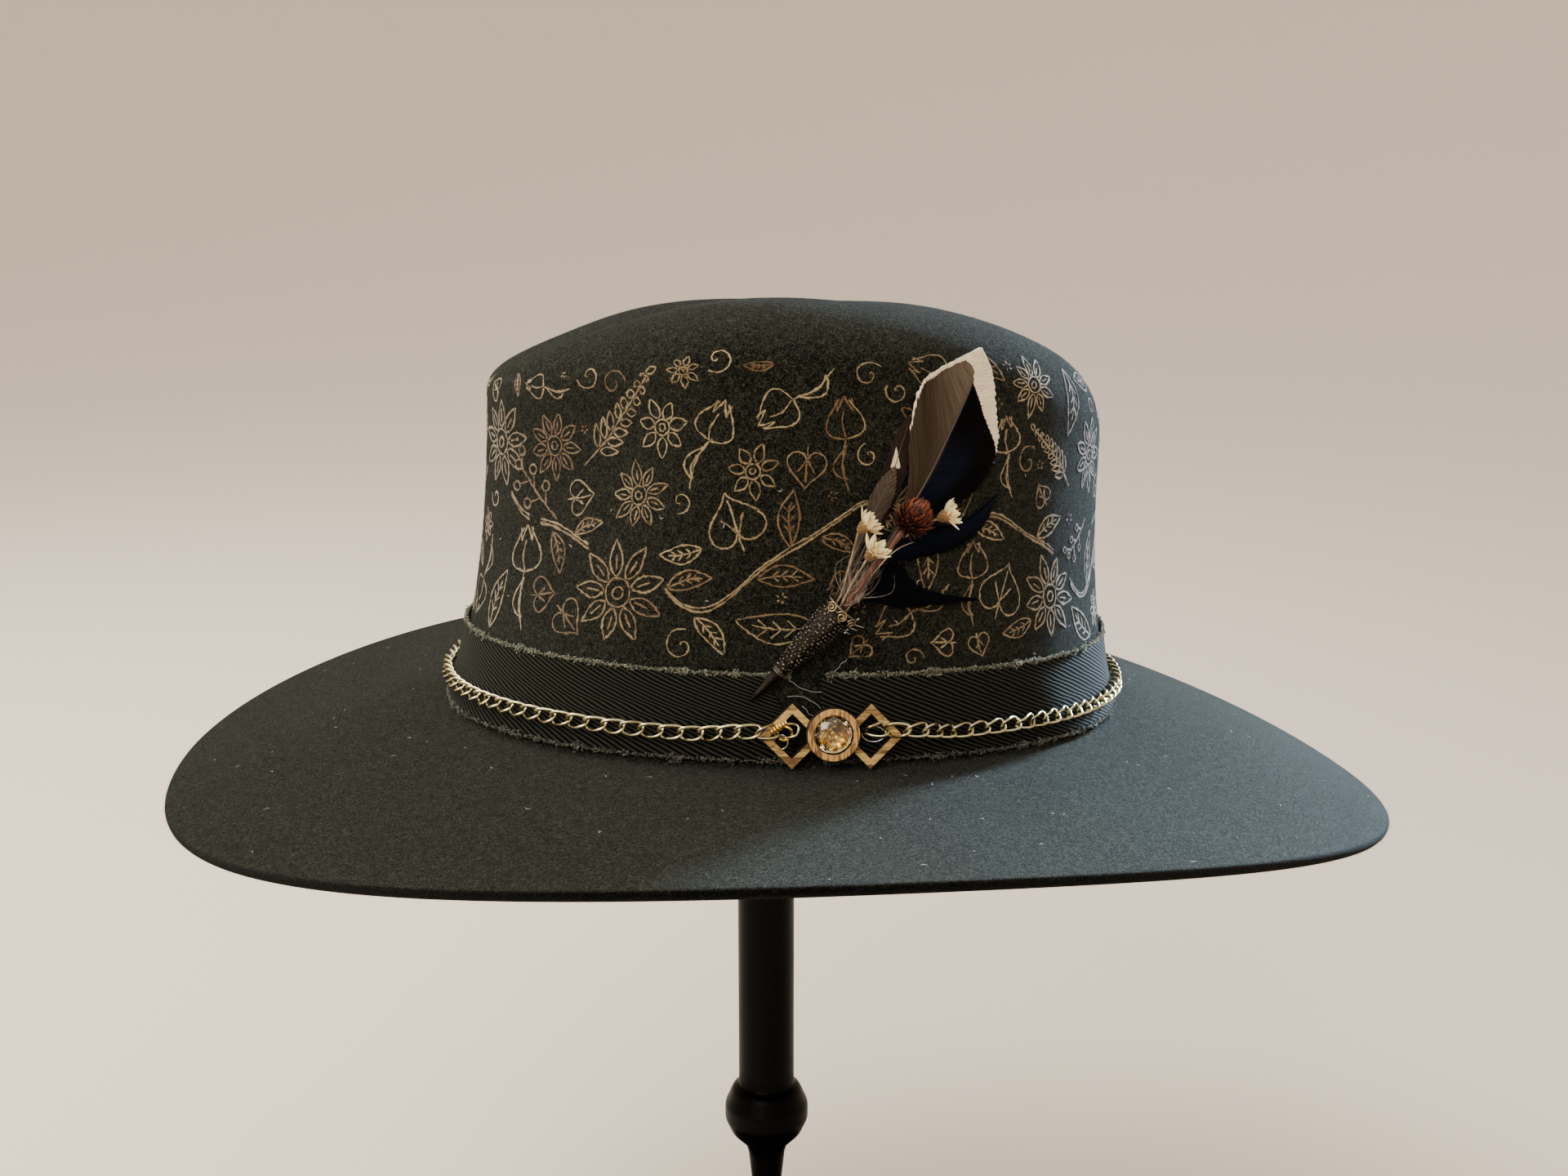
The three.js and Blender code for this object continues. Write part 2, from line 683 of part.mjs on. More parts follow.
// Lowest height of the crown's underside over the stand's cap
function undersideLow(hat) {
  const widest = max(...stand.cap.map(([radius]) => radius));
  let low = Infinity;
  for (let angle = 0; angle < 2 * PI; angle += PI / 36) {
    for (let share = 0; share < 1; share += 0.02) {
      const point = topPoint(angle, share);
      point.z -= crown.wall;
      point.applyMatrix4(hat.matrixWorld);
      if (hypot(point.x, point.y) < widest) low = min(low, point.z);
    }
  }
  return low;
}

function buildStand(capTop) {
  const group = new THREE.Group();
  const black = { color: 0x0b0b0d, roughness: 0.35 };
  const [, capThick] = stand.cap.at(-1);
  addMesh(group, 'stand_base', baseGeometry(), black);
  addMesh(group, 'stand_post', postGeometry(capTop - capThick - gap), black);
  addMesh(group, 'stand_cap', turned(stand.cap, 32), black).position.z = capTop - capThick;
  return group;
}

const hatOnStand = new THREE.Group();
const hat = buildHat();
hatOnStand.add(hat, buildStand(undersideLow(hat) - gap));

export default hatOnStand;
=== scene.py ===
import json

import bpy
import numpy as np
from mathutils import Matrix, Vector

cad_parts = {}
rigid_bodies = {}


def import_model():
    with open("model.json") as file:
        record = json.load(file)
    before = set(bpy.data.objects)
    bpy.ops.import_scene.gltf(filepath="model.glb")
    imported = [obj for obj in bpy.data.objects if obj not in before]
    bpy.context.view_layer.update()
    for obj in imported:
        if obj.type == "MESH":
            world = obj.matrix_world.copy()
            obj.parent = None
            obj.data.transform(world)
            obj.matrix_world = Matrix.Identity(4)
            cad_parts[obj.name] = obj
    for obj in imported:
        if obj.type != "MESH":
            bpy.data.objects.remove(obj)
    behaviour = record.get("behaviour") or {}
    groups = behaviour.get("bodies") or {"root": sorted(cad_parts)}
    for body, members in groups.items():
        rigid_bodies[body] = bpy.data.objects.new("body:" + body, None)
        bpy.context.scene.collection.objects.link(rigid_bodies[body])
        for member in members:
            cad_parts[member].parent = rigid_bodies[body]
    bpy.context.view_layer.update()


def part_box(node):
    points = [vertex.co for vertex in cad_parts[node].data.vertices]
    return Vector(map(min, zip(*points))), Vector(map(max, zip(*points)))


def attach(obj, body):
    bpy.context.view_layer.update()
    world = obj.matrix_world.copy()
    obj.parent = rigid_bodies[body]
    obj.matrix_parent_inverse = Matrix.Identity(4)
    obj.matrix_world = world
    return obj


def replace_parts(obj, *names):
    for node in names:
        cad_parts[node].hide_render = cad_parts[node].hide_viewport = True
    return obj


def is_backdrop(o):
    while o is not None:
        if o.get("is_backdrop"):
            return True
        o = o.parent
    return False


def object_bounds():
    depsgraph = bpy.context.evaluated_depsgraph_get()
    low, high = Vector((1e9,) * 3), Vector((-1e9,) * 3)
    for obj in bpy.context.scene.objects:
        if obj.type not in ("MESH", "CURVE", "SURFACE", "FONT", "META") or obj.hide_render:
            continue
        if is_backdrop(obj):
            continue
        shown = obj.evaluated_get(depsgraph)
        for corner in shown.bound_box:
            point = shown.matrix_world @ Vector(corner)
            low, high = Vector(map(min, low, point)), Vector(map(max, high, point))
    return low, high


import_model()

# Felt body
# Crown and brim are one blocked wool felt, 2.4 to 3 mm thick. It was steamed over a block,
# dented on top and pinched by hand beside the front, and its edge is cut raw and left fuzzy.
# Sizes are in millimetres in the hat's own frame: front -X, trimmed side -Y, join at height 0.

join_length, join_width = 107.0, 89.5      # half sizes of the crown at its join with the brim
top_front, top_back, top_width = 95.5, 96.5, 84.0
crown_height, front_fall, back_fall = 118.5, 17.0, 6.5
front_round, side_round, back_round = 8.0, 9.0, 31.0
dent_depth = 20.0
near_rise, near_reach, front_rise = 7.9, 20.0, 4.0     # the near side's rounding, over the others
pinch_depth, pinch_turn, pinch_wide = 5.0, 0.72, 0.34    # turn and width are angles from the front
brim_length, brim_width, brim_corner = 192.5, 167.5, 2.14
near_fall, far_fall, brim_front_fall, brim_back_fall = 3.5, 7.0, 27.5, 30.0
join_dip = 3.5
crown_thick, brim_thick = 2.4, 3.0
tipped_back, tipped_far, join_place = 2.0, -0.64, np.array([6.3, -1.2, 240.0])
felt_columns = 400


def lerp(a, b, share):
    """From a at share 0 to b at share 1, in proportion."""
    return a + (b - a) * share


def unit(vectors):
    """The same directions, each one long."""
    return vectors / np.maximum(np.linalg.norm(vectors, axis=-1, keepdims=True), 1e-12)


def ease(value, low, high):
    """0 below low, 1 above high, and 3t^2 - 2t^3 between them."""
    t = np.clip((value - low) / (high - low), 0, 1)
    return t * t * (3 - 2 * t)


def round_radius(angle):
    """Radius of the rounding at the crown's top: side, front or back, by the squared cosine."""
    c = np.cos(angle)
    return lerp(side_round, np.where(c < 0, front_round, back_round), c * c)


def ridge_height(share):
    """Height of the top's ridge, falling by a power of the distance to the front and back."""
    return crown_height - np.where(
        share < 0,
        front_fall * np.abs(share) ** 2.4,
        back_fall * np.abs(share) ** 3,
    )


def wall_point(angle, rise):
    """An ellipse that leans in with height by 1-(1-rise)^2.6, drawn in at the two pinches by a
    bell curve of the angle and the height."""
    angle, rise = np.broadcast_arrays(np.asarray(angle, float), np.asarray(rise, float))
    c, s = np.cos(angle), np.sin(angle)
    lean = 1 - np.maximum(1 - rise, 0) ** 2.6
    x = lerp(join_length, np.where(c < 0, top_front, top_back), lean) * c
    y = lerp(join_width, top_width, lean) * s * (1 - 0.1 * lean * np.maximum(-c, 0) ** 2)
    beside = (np.arccos(np.clip(-c, -1, 1)) - pinch_turn) / pinch_wide
    pinch = pinch_depth * np.exp(-beside ** 2 - ((rise - 0.8) / 0.3) ** 2)
    kept = 1 - pinch / np.hypot(x, y)
    z = lerp(-join_dip * c * c, ridge_height(c) - round_radius(angle), rise)
    return np.stack([x * kept, y * kept, z], -1)


def near_side(angle):
    """1 in the middle of the near side, easing to 0 at the front and sooner at the back."""
    return ease(-np.sin(angle + 0.25), 0.1, 0.95)


def crest(angle):
    """How much higher the near side's rounding stands, a little more towards the front."""
    return near_side(angle) * (near_rise + front_rise * np.maximum(-np.cos(angle), 0))


def shoulder_radii(angle):
    """Reach inwards and upwards of the rounding, both larger on the near side."""
    radius = round_radius(angle)
    return radius + near_reach * near_side(angle), radius + crest(angle)


def shoulder_point(angle, turn):
    """A quarter ellipse from the wall's top: turn 0 at its foot, 1 on the ridge."""
    angle, turn = np.broadcast_arrays(np.asarray(angle, float), np.asarray(turn, float))
    foot = wall_point(angle, 1.0)
    reach, rise = shoulder_radii(angle)
    inward = reach * (1 - np.cos(turn * np.pi / 2)) / np.hypot(foot[..., 0], foot[..., 1])
    up = rise * np.sin(turn * np.pi / 2)
    return np.stack([foot[..., 0] * (1 - inward), foot[..., 1] * (1 - inward), foot[..., 2] + up], -1)


def top_point(angle, share):
    """The dented top: the ridge's line less a bowl of 20(1-share^2)^1.5, share 1 on the ridge.
    What the near ridge stands higher is taken back smoothly towards the middle."""
    angle, share = np.broadcast_arrays(np.asarray(angle, float), np.asarray(share, float))
    ridge = shoulder_point(angle, 1.0)
    half = np.where(ridge[..., 0] < 0, top_front, top_back)
    raised = crest(angle)
    rest = ridge[..., 2] - raised - ridge_height(ridge[..., 0] / half)
    bowl = dent_depth * (1 - share ** 2) ** 1.5
    z = ridge_height(ridge[..., 0] * share / half) + rest * share ** 2 - bowl
    z = z + raised * ease(share, 0, 1)
    return np.stack([ridge[..., 0] * share, ridge[..., 1] * share, z], -1)


def brim_point(angle, share):
    """The brim's upper face from the join to a squarish oval edge, falling by share^1.35."""
    angle, share = np.broadcast_arrays(np.asarray(angle, float), np.asarray(share, float))
    c, s = np.cos(angle), np.sin(angle)
    edge_x = brim_length * np.sign(c) * np.abs(c) ** (2 / brim_corner)
    edge_y = brim_width * np.sign(s) * np.abs(s) ** (2 / brim_corner)
    side_fall = lerp(near_fall, far_fall, (s + 1) / 2)
    edge_z = -lerp(side_fall, np.where(c < 0, brim_front_fall, brim_back_fall), c * c)
    return np.stack([
        lerp(join_length * c, edge_x, share),
        lerp(join_width * s, edge_y, share),
        lerp(-join_dip * c * c, edge_z, np.maximum(share, 0) ** 1.35),
    ], -1)


def to_row(points):
    """Hat frame in millimetres to the row's frame in metres: the hat tips 2 degrees to its back
    and 0.64 to its far side, and its join is 240 mm over the floor."""
    back, far = np.radians(tipped_back), np.radians(tipped_far)
    about_x = np.array([[1, 0, 0], [0, np.cos(far), -np.sin(far)], [0, np.sin(far), np.cos(far)]])
    about_y = np.array([[np.cos(back), 0, np.sin(back)], [0, 1, 0], [-np.sin(back), 0, np.cos(back)]])
    return (points @ (about_y @ about_x).T + join_place) / 1000


def grid_faces(rows, columns, wrap_rows=False, wrap_columns=True):
    """Four corners of each cell in a grid of points, numbered row by row."""
    r = np.arange(rows if wrap_rows else rows - 1)[:, None]
    c = np.arange(columns if wrap_columns else columns - 1)[None, :]
    r_next, c_next = (r + 1) % rows, (c + 1) % columns
    corners = [r * columns + c, r * columns + c_next, r_next * columns + c_next, r_next * columns + c]
    return np.stack(corners, -1).reshape(-1, 4)


def capped(rows, columns):
    """Faces of closed rings of points one after the other, and one face over each end."""
    ring = np.arange(columns)
    return [grid_faces(rows, columns), np.stack([ring[::-1], ring + (rows - 1) * columns])]


def repeated(faces, count, size):
    """The same faces for many bodies whose points follow one another, size points each."""
    first = (np.arange(count) * size)[:, None, None]
    return (faces[None] + first).reshape(-1, faces.shape[1])


def full_turn(count):
    """Even angles once round."""
    return np.linspace(0, 2 * np.pi, count, endpoint=False)


def distances(steps):
    """How far along each point is, from the steps between them."""
    return np.concatenate([[0], np.cumsum(steps)])


def enclosed(points, groups):
    """Six times the volume inside the faces, each cut into a fan of triangles."""
    total = 0.0
    for faces in groups:
        for k in range(1, faces.shape[1] - 1):
            a, b, c = points[faces[:, 0]], points[faces[:, k]], points[faces[:, k + 1]]
            total += float((a * np.cross(b, c)).sum())
    return total


def add_piece(name, points, groups, material, uv=None, values=None, smooth=True, shell=True):
    """A mesh object in the row's frame from points and groups of faces with as many corners each.
    A closed shell whose volume comes out negative has its faces turned round. uv has a pair for
    each point, and values are named numbers for each point."""
    groups = [np.asarray(faces, int) for faces in groups if len(faces)]
    if shell and enclosed(points - points.mean(axis=0), groups) < 0:
        groups = [faces[:, ::-1] for faces in groups]
    corners = np.concatenate([faces.ravel() for faces in groups])
    counts = np.concatenate([np.full(len(faces), faces.shape[1]) for faces in groups])
    mesh = bpy.data.meshes.new(name)
    mesh.vertices.add(len(points))
    mesh.vertices.foreach_set("co", points.astype(np.float32).ravel())
    mesh.loops.add(len(corners))
    mesh.loops.foreach_set("vertex_index", corners.astype(np.int32))
    mesh.polygons.add(len(counts))
    mesh.polygons.foreach_set("loop_start", (np.cumsum(counts) - counts).astype(np.int32))
    mesh.update(calc_edges=True)
    mesh.polygons.foreach_set("use_smooth", np.full(len(counts), smooth))
    if uv is not None:
        layer = mesh.uv_layers.new(name="flat")
        layer.data.foreach_set("uv", uv[corners].astype(np.float32).ravel())
    for key, numbers in (values or {}).items():
        attribute = mesh.attributes.new(key, "FLOAT", "POINT")
        attribute.data.foreach_set("value", np.asarray(numbers, np.float32))
    mesh.materials.append(material)
    piece = bpy.data.objects.new(name, mesh)
    bpy.context.scene.collection.objects.link(piece)
    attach(piece, "root")
    return piece


def feed(tree, socket, value):
    """Joins a node's result to an input, or sets the input to a number, a vector or a colour."""
    if isinstance(value, bpy.types.NodeSocket):
        tree.links.new(value, socket)
    elif socket.type == "RGBA":
        socket.default_value = (*value, 1.0)
    else:
        socket.default_value = value


def add_node(tree, kind, inputs=None, **settings):
    """A shader node with its settings and inputs."""
    made = tree.nodes.new("ShaderNode" + kind)
    for key, value in settings.items():
        setattr(made, key, value)
    for key, value in (inputs or {}).items():
        feed(tree, made.inputs[key], value)
    return made


def calc(tree, operation, a, b=0.0, c=0.0):
    """The result of one Math node."""
    return add_node(tree, "Math", {0: a, 1: b, 2: c}, operation=operation).outputs[0]


def between(tree, value, low, high):
    """A value mapped smoothly from low..high to 0..1."""
    inputs = {"Value": value, "From Min": low, "From Max": high}
    return add_node(tree, "MapRange", inputs, interpolation_type="SMOOTHSTEP").outputs["Result"]


def colours(tree, factor, a, b):
    """Two colours mixed by a factor."""
    return add_node(tree, "Mix", {0: factor, 6: a, 7: b}, data_type="RGBA").outputs[2]


def noise(tree, vector, scale, detail=4.0, rough=0.55, warp=0.0):
    """The value of a Noise Texture, features about 1/scale apart."""
    inputs = {"Vector": vector, "Scale": scale, "Detail": detail, "Roughness": rough, "Distortion": warp}
    return add_node(tree, "TexNoise", inputs).outputs[0]


def stretched(tree, vector, scale, turn=(0.0, 0.0, 0.0)):
    """Coordinates turned, then stretched along each axis."""
    inputs = {"Vector": vector, "Rotation": turn, "Scale": scale}
    return add_node(tree, "Mapping", inputs, vector_type="POINT").outputs[0]


def relief(tree, height, strength, distance):
    """A normal from a height, with the relief's depth in metres."""
    inputs = {"Height": height, "Strength": strength, "Distance": distance}
    return add_node(tree, "Bump", inputs).outputs[0]


def stored(tree, name):
    """A number that the mesh holds for each point."""
    return add_node(tree, "Attribute", attribute_name=name, attribute_type="GEOMETRY").outputs["Fac"]


def flat_place(tree):
    """Flat coordinates in centimetres, from the piece's own UV map."""
    return add_node(tree, "UVMap", uv_map="flat").outputs[0]


def finish_material(tree, shader, **sockets):
    """Joins results to the shader's sockets, or sets them."""
    for key, value in sockets.items():
        feed(tree, shader.inputs[key.replace("_", " ")], value)


def new_material(name, **values):
    """A material, its node tree, its Principled shader with values set on it, and the piece's
    own coordinates."""
    material = bpy.data.materials.new(name)
    material.use_nodes = True
    tree = material.node_tree
    shader = tree.nodes["Principled BSDF"]
    finish_material(tree, shader, **values)
    return material, tree, shader, add_node(tree, "TexCoord").outputs["Object"]


def two_toned(name, grain, dark, light, edges=None, bump=None, **values):
    """A material that goes from dark to light by one noise. grain holds the noise's scale, or
    one scale for each axis, and its detail; edges sharpen it, and bump is its relief."""
    material, tree, shader, place = new_material(name, **values)
    if isinstance(grain[0], tuple):
        tint = noise(tree, stretched(tree, place, grain[0]), 1.0, *grain[1:])
    else:
        tint = noise(tree, place, *grain)
    factor = between(tree, tint, *edges) if edges else tint
    finish_material(tree, shader, Base_Color=colours(tree, factor, dark, light))
    if bump:
        finish_material(tree, shader, Normal=relief(tree, tint, *bump))
    return material


def new_effect(name, inputs, outputs):
    """A node group with number or vector inputs and number outputs: its tree, inputs and end."""
    tree = bpy.data.node_groups.new(name, "ShaderNodeTree")
    for key, kind in inputs.items():
        tree.interface.new_socket(key, in_out="INPUT", socket_type="NodeSocket" + kind)
    for key in outputs:
        tree.interface.new_socket(key, in_out="OUTPUT", socket_type="NodeSocketFloat")
    start = tree.nodes.new("NodeGroupInput")
    end = tree.nodes.new("NodeGroupOutput")
    return tree, start.outputs, end.inputs


def use_effect(tree, effect, **inputs):
    """The outputs of an effect placed in a material with its own values."""
    return add_node(tree, "Group", inputs, node_tree=effect).outputs


# Matted wool fibres: a fine warped noise for the nap, its shade, and broad patches of wear
felt_nap, given, out = new_effect(
    "felt_nap", {"Place": "Vector", "Fineness": "Float"}, ["Height", "Shade", "Patches"])
tree = felt_nap
fine_scale = calc(tree, "MULTIPLY", given["Fineness"], 1000.0)
fine = noise(tree, given["Place"], fine_scale, 5.0, 0.7, 1.2)
tufts = noise(tree, given["Place"], calc(tree, "MULTIPLY", fine_scale, 0.3), 3.0, 0.6, 2.0)
height = calc(tree, "ADD", calc(tree, "MULTIPLY", fine, 0.35), calc(tree, "MULTIPLY", tufts, 0.75))
tree.links.new(height, out["Height"])
tree.links.new(between(tree, height, 0.50, 0.70), out["Shade"])
tree.links.new(noise(tree, given["Place"], 22.0, 3.0, 0.6, 0.6), out["Patches"])

felt, tree, shader, place = new_material(
    "felt", Roughness=0.95, Sheen_Weight=0.055, Sheen_Roughness=0.35,
    Sheen_Tint=(0.84, 0.85, 0.78), Specular_IOR_Level=0.03)
nap = use_effect(tree, felt_nap, Place=place, Fineness=3.7)
worn = between(tree, nap["Patches"], 0.3, 0.7)
broad = colours(tree, worn, (0.0020, 0.0025, 0.0018), (0.0042, 0.0046, 0.0032))
cloth = colours(tree, nap["Shade"], broad, (0.051, 0.054, 0.038))
# The brim's cut edge is darkened almost to black by its weight: painted shade on that edge
cloth = colours(tree, stored(tree, "cut"), cloth, (0.0010, 0.0011, 0.0010))
finish_material(tree, shader, Base_Color=cloth, Normal=relief(tree, nap["Height"], 0.9, 0.0011))

around = full_turn(felt_columns)
outer = np.concatenate([
    top_point(around, np.linspace(0.04, 0.97, 22)[:, None]),
    shoulder_point(around, np.linspace(1, 0.07, 14)[:, None]),
    wall_point(around, np.concatenate([np.linspace(1, 0.06, 38), [0.035, 0.012]])[:, None]),
    brim_point(around, np.concatenate([[0.012, 0.03], np.linspace(0.05, 0.985, 48)])[:, None]),
])
crown_rows = 76


def grid_normals(points):
    """Directions square to a grid that closes round its columns, from its two differences."""
    along = np.roll(points, -1, 1) - np.roll(points, 1, 1)
    return unit(np.cross(np.gradient(points, axis=0), along))


outward = grid_normals(outer)
join_rows = [crown_rows - 2, crown_rows + 2]
thickness = np.interp(np.arange(len(outer)), join_rows, [crown_thick, brim_thick])
inner = outer - outward * thickness[:, None, None]
edge_reach = np.linalg.norm(brim_point(around, 1.0) - outer[-1], axis=-1)[:, None]
edge_way = unit(outer[-1] - outer[-2])
edge_middle = outer[-1] - outward[-1] * brim_thick / 2
edge_turn = np.radians([72, 50, 26, 0, -26, -50, -72])[:, None, None]
edge = (edge_middle + edge_way * edge_reach * np.cos(edge_turn) ** 0.6
        + outward[-1] * brim_thick / 2 * np.sin(edge_turn))
felt_rows = np.concatenate([outer, edge, inner[::-1][::2]])
middle = top_point(0.0, 0.0)[None]
under = middle - np.array([0, 0, crown_thick])
felt_points = np.concatenate([felt_rows.reshape(-1, 3), middle, under])
# Weights for the painted shade on the brim's cut edge, row by row
edge_shade_rows = np.zeros(len(felt_rows))
edge_shade_rows[len(outer):len(outer) + len(edge)] = [0.3, 0.9, 1, 1, 1, 1, 1]
edge_shade = np.concatenate([np.repeat(edge_shade_rows, felt_columns), [0, 0]])
step = np.arange(felt_columns)
after = (step + 1) % felt_columns
last = (len(felt_rows) - 1) * felt_columns
poles = np.concatenate([
    np.stack([np.full(felt_columns, len(felt_points) - 2), after, step], -1),
    np.stack([np.full(felt_columns, len(felt_points) - 1), last + step, last + after], -1),
])
felt_body = add_piece(
    "felt_shell", to_row(felt_points), [grid_faces(len(felt_rows), felt_columns), poles], felt,
    values={"cut": edge_shade})
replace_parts(felt_body, "felt_body")

# Felt's loose fibres
# Short wool ends that stand out of the nap, thickest along the raw edge of the brim and on the
# crown's ridge, and a few pale bits of lint that cling to it.

fibre_dice = np.random.default_rng(11)
rim_count, brim_lint, wall_lint = 9000, 80, 50
fibre_half, lint_half = 0.028, 0.10


def blades(base, way, length, width):
    """One thin triangle for each fibre, from a base that is square to its way out to its tip."""
    side = unit(np.cross(way, fibre_dice.normal(size=base.shape))) * width[:, None]
    points = np.stack([base - side, base + side, base + way * length[:, None]], 1)
    return points.reshape(-1, 3), np.arange(len(base) * 3).reshape(-1, 3)


def skin(kind, angle, share):
    """Points on one part of the felt's outside and its outward directions, from small steps."""
    small = 0.004
    points = kind(angle, share)
    along = kind(angle + small, share) - kind(angle - small, share)
    up = kind(angle, np.minimum(share + small, 1)) - kind(angle, np.maximum(share - small, 0))
    return points, unit(np.cross(along, up))


fibre_parts = [
    (wall_point, 13000, lambda n: fibre_dice.uniform(0.2, 1, n), 1),
    (shoulder_point, 9000, lambda n: fibre_dice.uniform(0, 1, n), 1),
    (top_point, 5000, lambda n: fibre_dice.uniform(0.3, 1, n) ** 0.5, -1),
    (brim_point, 16000, lambda n: fibre_dice.uniform(0.1, 1, n) ** 0.7, -1),
]
bases, ways = [], []
for kind, count, spread, sign in fibre_parts:
    at, way = skin(kind, fibre_dice.uniform(0, 2 * np.pi, count), spread(count))
    bases.append(at)
    ways.append(way * sign)
rim = fibre_dice.uniform(0, 2 * np.pi, rim_count)
at, way = skin(brim_point, rim, np.full(rim_count, 0.999))
bases.append(at + way * fibre_dice.uniform(0, brim_thick, (rim_count, 1)))
ways.append(unit(at - brim_point(rim, 0.97)))
base, way = np.concatenate(bases), np.concatenate(ways)
way = unit(way + fibre_dice.normal(size=way.shape) * 0.75)
length = fibre_dice.uniform(0.25, 0.85, len(base))
points, faces = blades(base - way * 0.05, way, length, np.full(len(base), fibre_half))
fuzz = two_toned("felt_fuzz", (600.0, 2.0), (0.014, 0.014, 0.011), (0.060, 0.060, 0.050),
                 Roughness=0.9, Sheen_Weight=0.1, Specular_IOR_Level=0.2)
add_piece("felt_fibres", to_row(points), [faces], fuzz, shell=False, smooth=False)

turn, share = fibre_dice.uniform(0, 2 * np.pi, brim_lint), fibre_dice.uniform(0.1, 0.98, brim_lint)
at, way = skin(brim_point, turn, share)
turn, share = fibre_dice.uniform(0, 2 * np.pi, wall_lint), fibre_dice.uniform(0.3, 1, wall_lint)
on_wall, way_wall = skin(wall_point, turn, share)
at, way = np.concatenate([at, on_wall]), np.concatenate([-way, way_wall])
along = unit(np.cross(way, fibre_dice.normal(size=way.shape)))
across = np.cross(way, along)
run = np.linspace(-1, 1, 5)[None, :, None]
half = fibre_dice.uniform(0.35, 1.0, len(at))[:, None, None]
bend = fibre_dice.normal(size=(len(at), 1, 1)) * 0.5
line = at[:, None] + along[:, None] * run * half + across[:, None] * bend * half * run ** 2
line = line + way[:, None] * 0.12
wide = across[:, None] * lint_half * (1 - 0.7 * run ** 2)
points = np.stack([line - wide, line + wide], 2).reshape(-1, 3)
faces = repeated(grid_faces(5, 2, wrap_columns=False), len(at), 10)
lint = two_toned("lint", (300.0, 2.0), (0.20, 0.19, 0.16), (0.70, 0.68, 0.62),
                 Roughness=0.8, Sheen_Weight=0.3)
add_piece("felt_lint", to_row(points), [faces], lint, shell=False)

# Burnt drawing round the crown
# A trailing vine, daisies, tulips, ferns and berries, drawn freehand into the felt with a hot
# wire. The scorched wool is tan along the middle of each line and dark brown at its edges.

pen_dice = np.random.default_rng(23)
line_half, line_step, line_shake = 0.56, 0.9, 0.32     # millimetres, at width 1
band_top, small_tries = 27.5, 240
ring_angles = np.linspace(-np.pi / 2, 1.5 * np.pi, 1441)
ring_steps = np.linalg.norm(np.diff(wall_point(ring_angles, 0.5), axis=0), axis=1)
ring_run = distances(ring_steps)
ring_length = ring_run[-1]


def crown_skin(run, climb, out):
    """A point on the crown, run millimetres round from the middle of the trimmed side and climb
    millimetres up the wall and over its rounding, moved out along the felt's own direction."""
    angle = np.interp(np.mod(run, ring_length), ring_run, ring_angles)

    def at(angle, climb):
        foot, head = wall_point(angle, 0.0)[..., 2], wall_point(angle, 1.0)[..., 2]
        reach, rise = shoulder_radii(angle)
        quarter = np.pi / 4 * (3 * (reach + rise) - np.sqrt((3 * reach + rise) * (reach + 3 * rise)))
        over = np.maximum(climb - head + foot, 0) / quarter
        on_wall = wall_point(angle, np.minimum(climb / (head - foot), 1))
        return np.where((over > 0)[..., None], shoulder_point(angle, np.minimum(over, 1)), on_wall)

    sideways = at(angle + 0.004, climb) - at(angle - 0.004, climb)
    upwards = at(angle, climb + 0.3) - at(angle, climb - 0.3)
    return at(angle, climb) + unit(np.cross(sideways, upwards)) * np.asarray(out)[..., None]


def petal(start, end, half, points=16):
    """A pointed loop along +X: out on one side by a sine, and back on the other."""
    t = np.linspace(0, 1, points)
    side = half * np.sin(np.pi * t ** 0.8)
    middle = start + (end - start) * t
    return np.concatenate([middle + 1j * side, (middle - 1j * side)[::-1]])


def circle(centre, radius, points=14):
    """A closed loop round a centre."""
    return centre + radius * np.exp(1j * np.linspace(0, 2 * np.pi, points))


def daisy(count=9, half=0.15):
    """Narrow pointed petals round a ringed, dotted middle."""
    ways = np.exp(2j * np.pi * np.arange(count) / count)
    lines = [way * petal(0.3, pen_dice.uniform(0.88, 1.05), half) for way in ways]
    lines += [way * np.linspace(0.42, 0.72, 5) for way in ways] if count == 9 else []
    lines += [circle(0, 0.27, 18), circle(0, 0.12, 10)]
    return lines


def small_daisy():
    """Fewer and broader petals, without the short line inside each."""
    return daisy(7, 0.19)


def tulip():
    """A cup of three pointed lobes on a bent stem with one blade of a leaf."""
    t = np.linspace(0, 1, 14)
    side = 0.2 * np.sin(np.pi * t ** 0.55) + 0.05 * t
    cup = 0.55 + 0.42 * t
    lobes = 0.55 + 0.42 + np.array([0, -0.14, 0.03, -0.14, 0])
    tips = 1j * np.array([-0.05, -0.05, 0, 0.05, 0.05]) * 1.6
    lines = [cup + 1j * side, cup - 1j * side, lobes + tips, 0.55 + 0.3 * t + 0.04j * np.sin(3 * t)]
    lines += [0.55 * t + 0.05j * np.sin(np.pi * t), 0.12 + 0.38 * t + 0.16j * np.sin(np.pi * t ** 0.7)]
    lines += [0.12 + 0.38 * t + 0.07j * np.sin(np.pi * t ** 0.7)]
    return lines


def fern():
    """A bent stem with pairs of small loops that get shorter to its tip."""
    stem = np.linspace(0, 1, 20)
    bend = stem + 0.16j * stem ** 2
    lines = [bend]
    for share in np.linspace(0.2, 0.95, 8):
        foot = share + 0.16j * share ** 2
        long = 0.23 * (1.15 - share)
        lines += [foot + petal(0.02, long, 0.035, 8) * np.exp(1j * side) for side in (0.95, -0.65)]
    lines.append(bend[-1] + petal(0, 0.1, 0.03, 8))
    return lines


def berries():
    """A bent stem with round fruits on short stalks to both sides."""
    stem = np.linspace(0, 1, 14)
    lines = [stem - 0.14j * stem ** 2]
    for k, share in enumerate(np.linspace(0.3, 0.95, 5)):
        foot = share - 0.14j * share ** 2
        way = np.exp(1j * (0.9 if k % 2 else -0.9))
        lines += [foot + way * np.array([0, 0.1, 0.19]), circle(foot + way * 0.26, 0.07, 12)]
    lines.append(circle(stem[-1] - 0.14j + 0.08, 0.07, 12))
    return lines


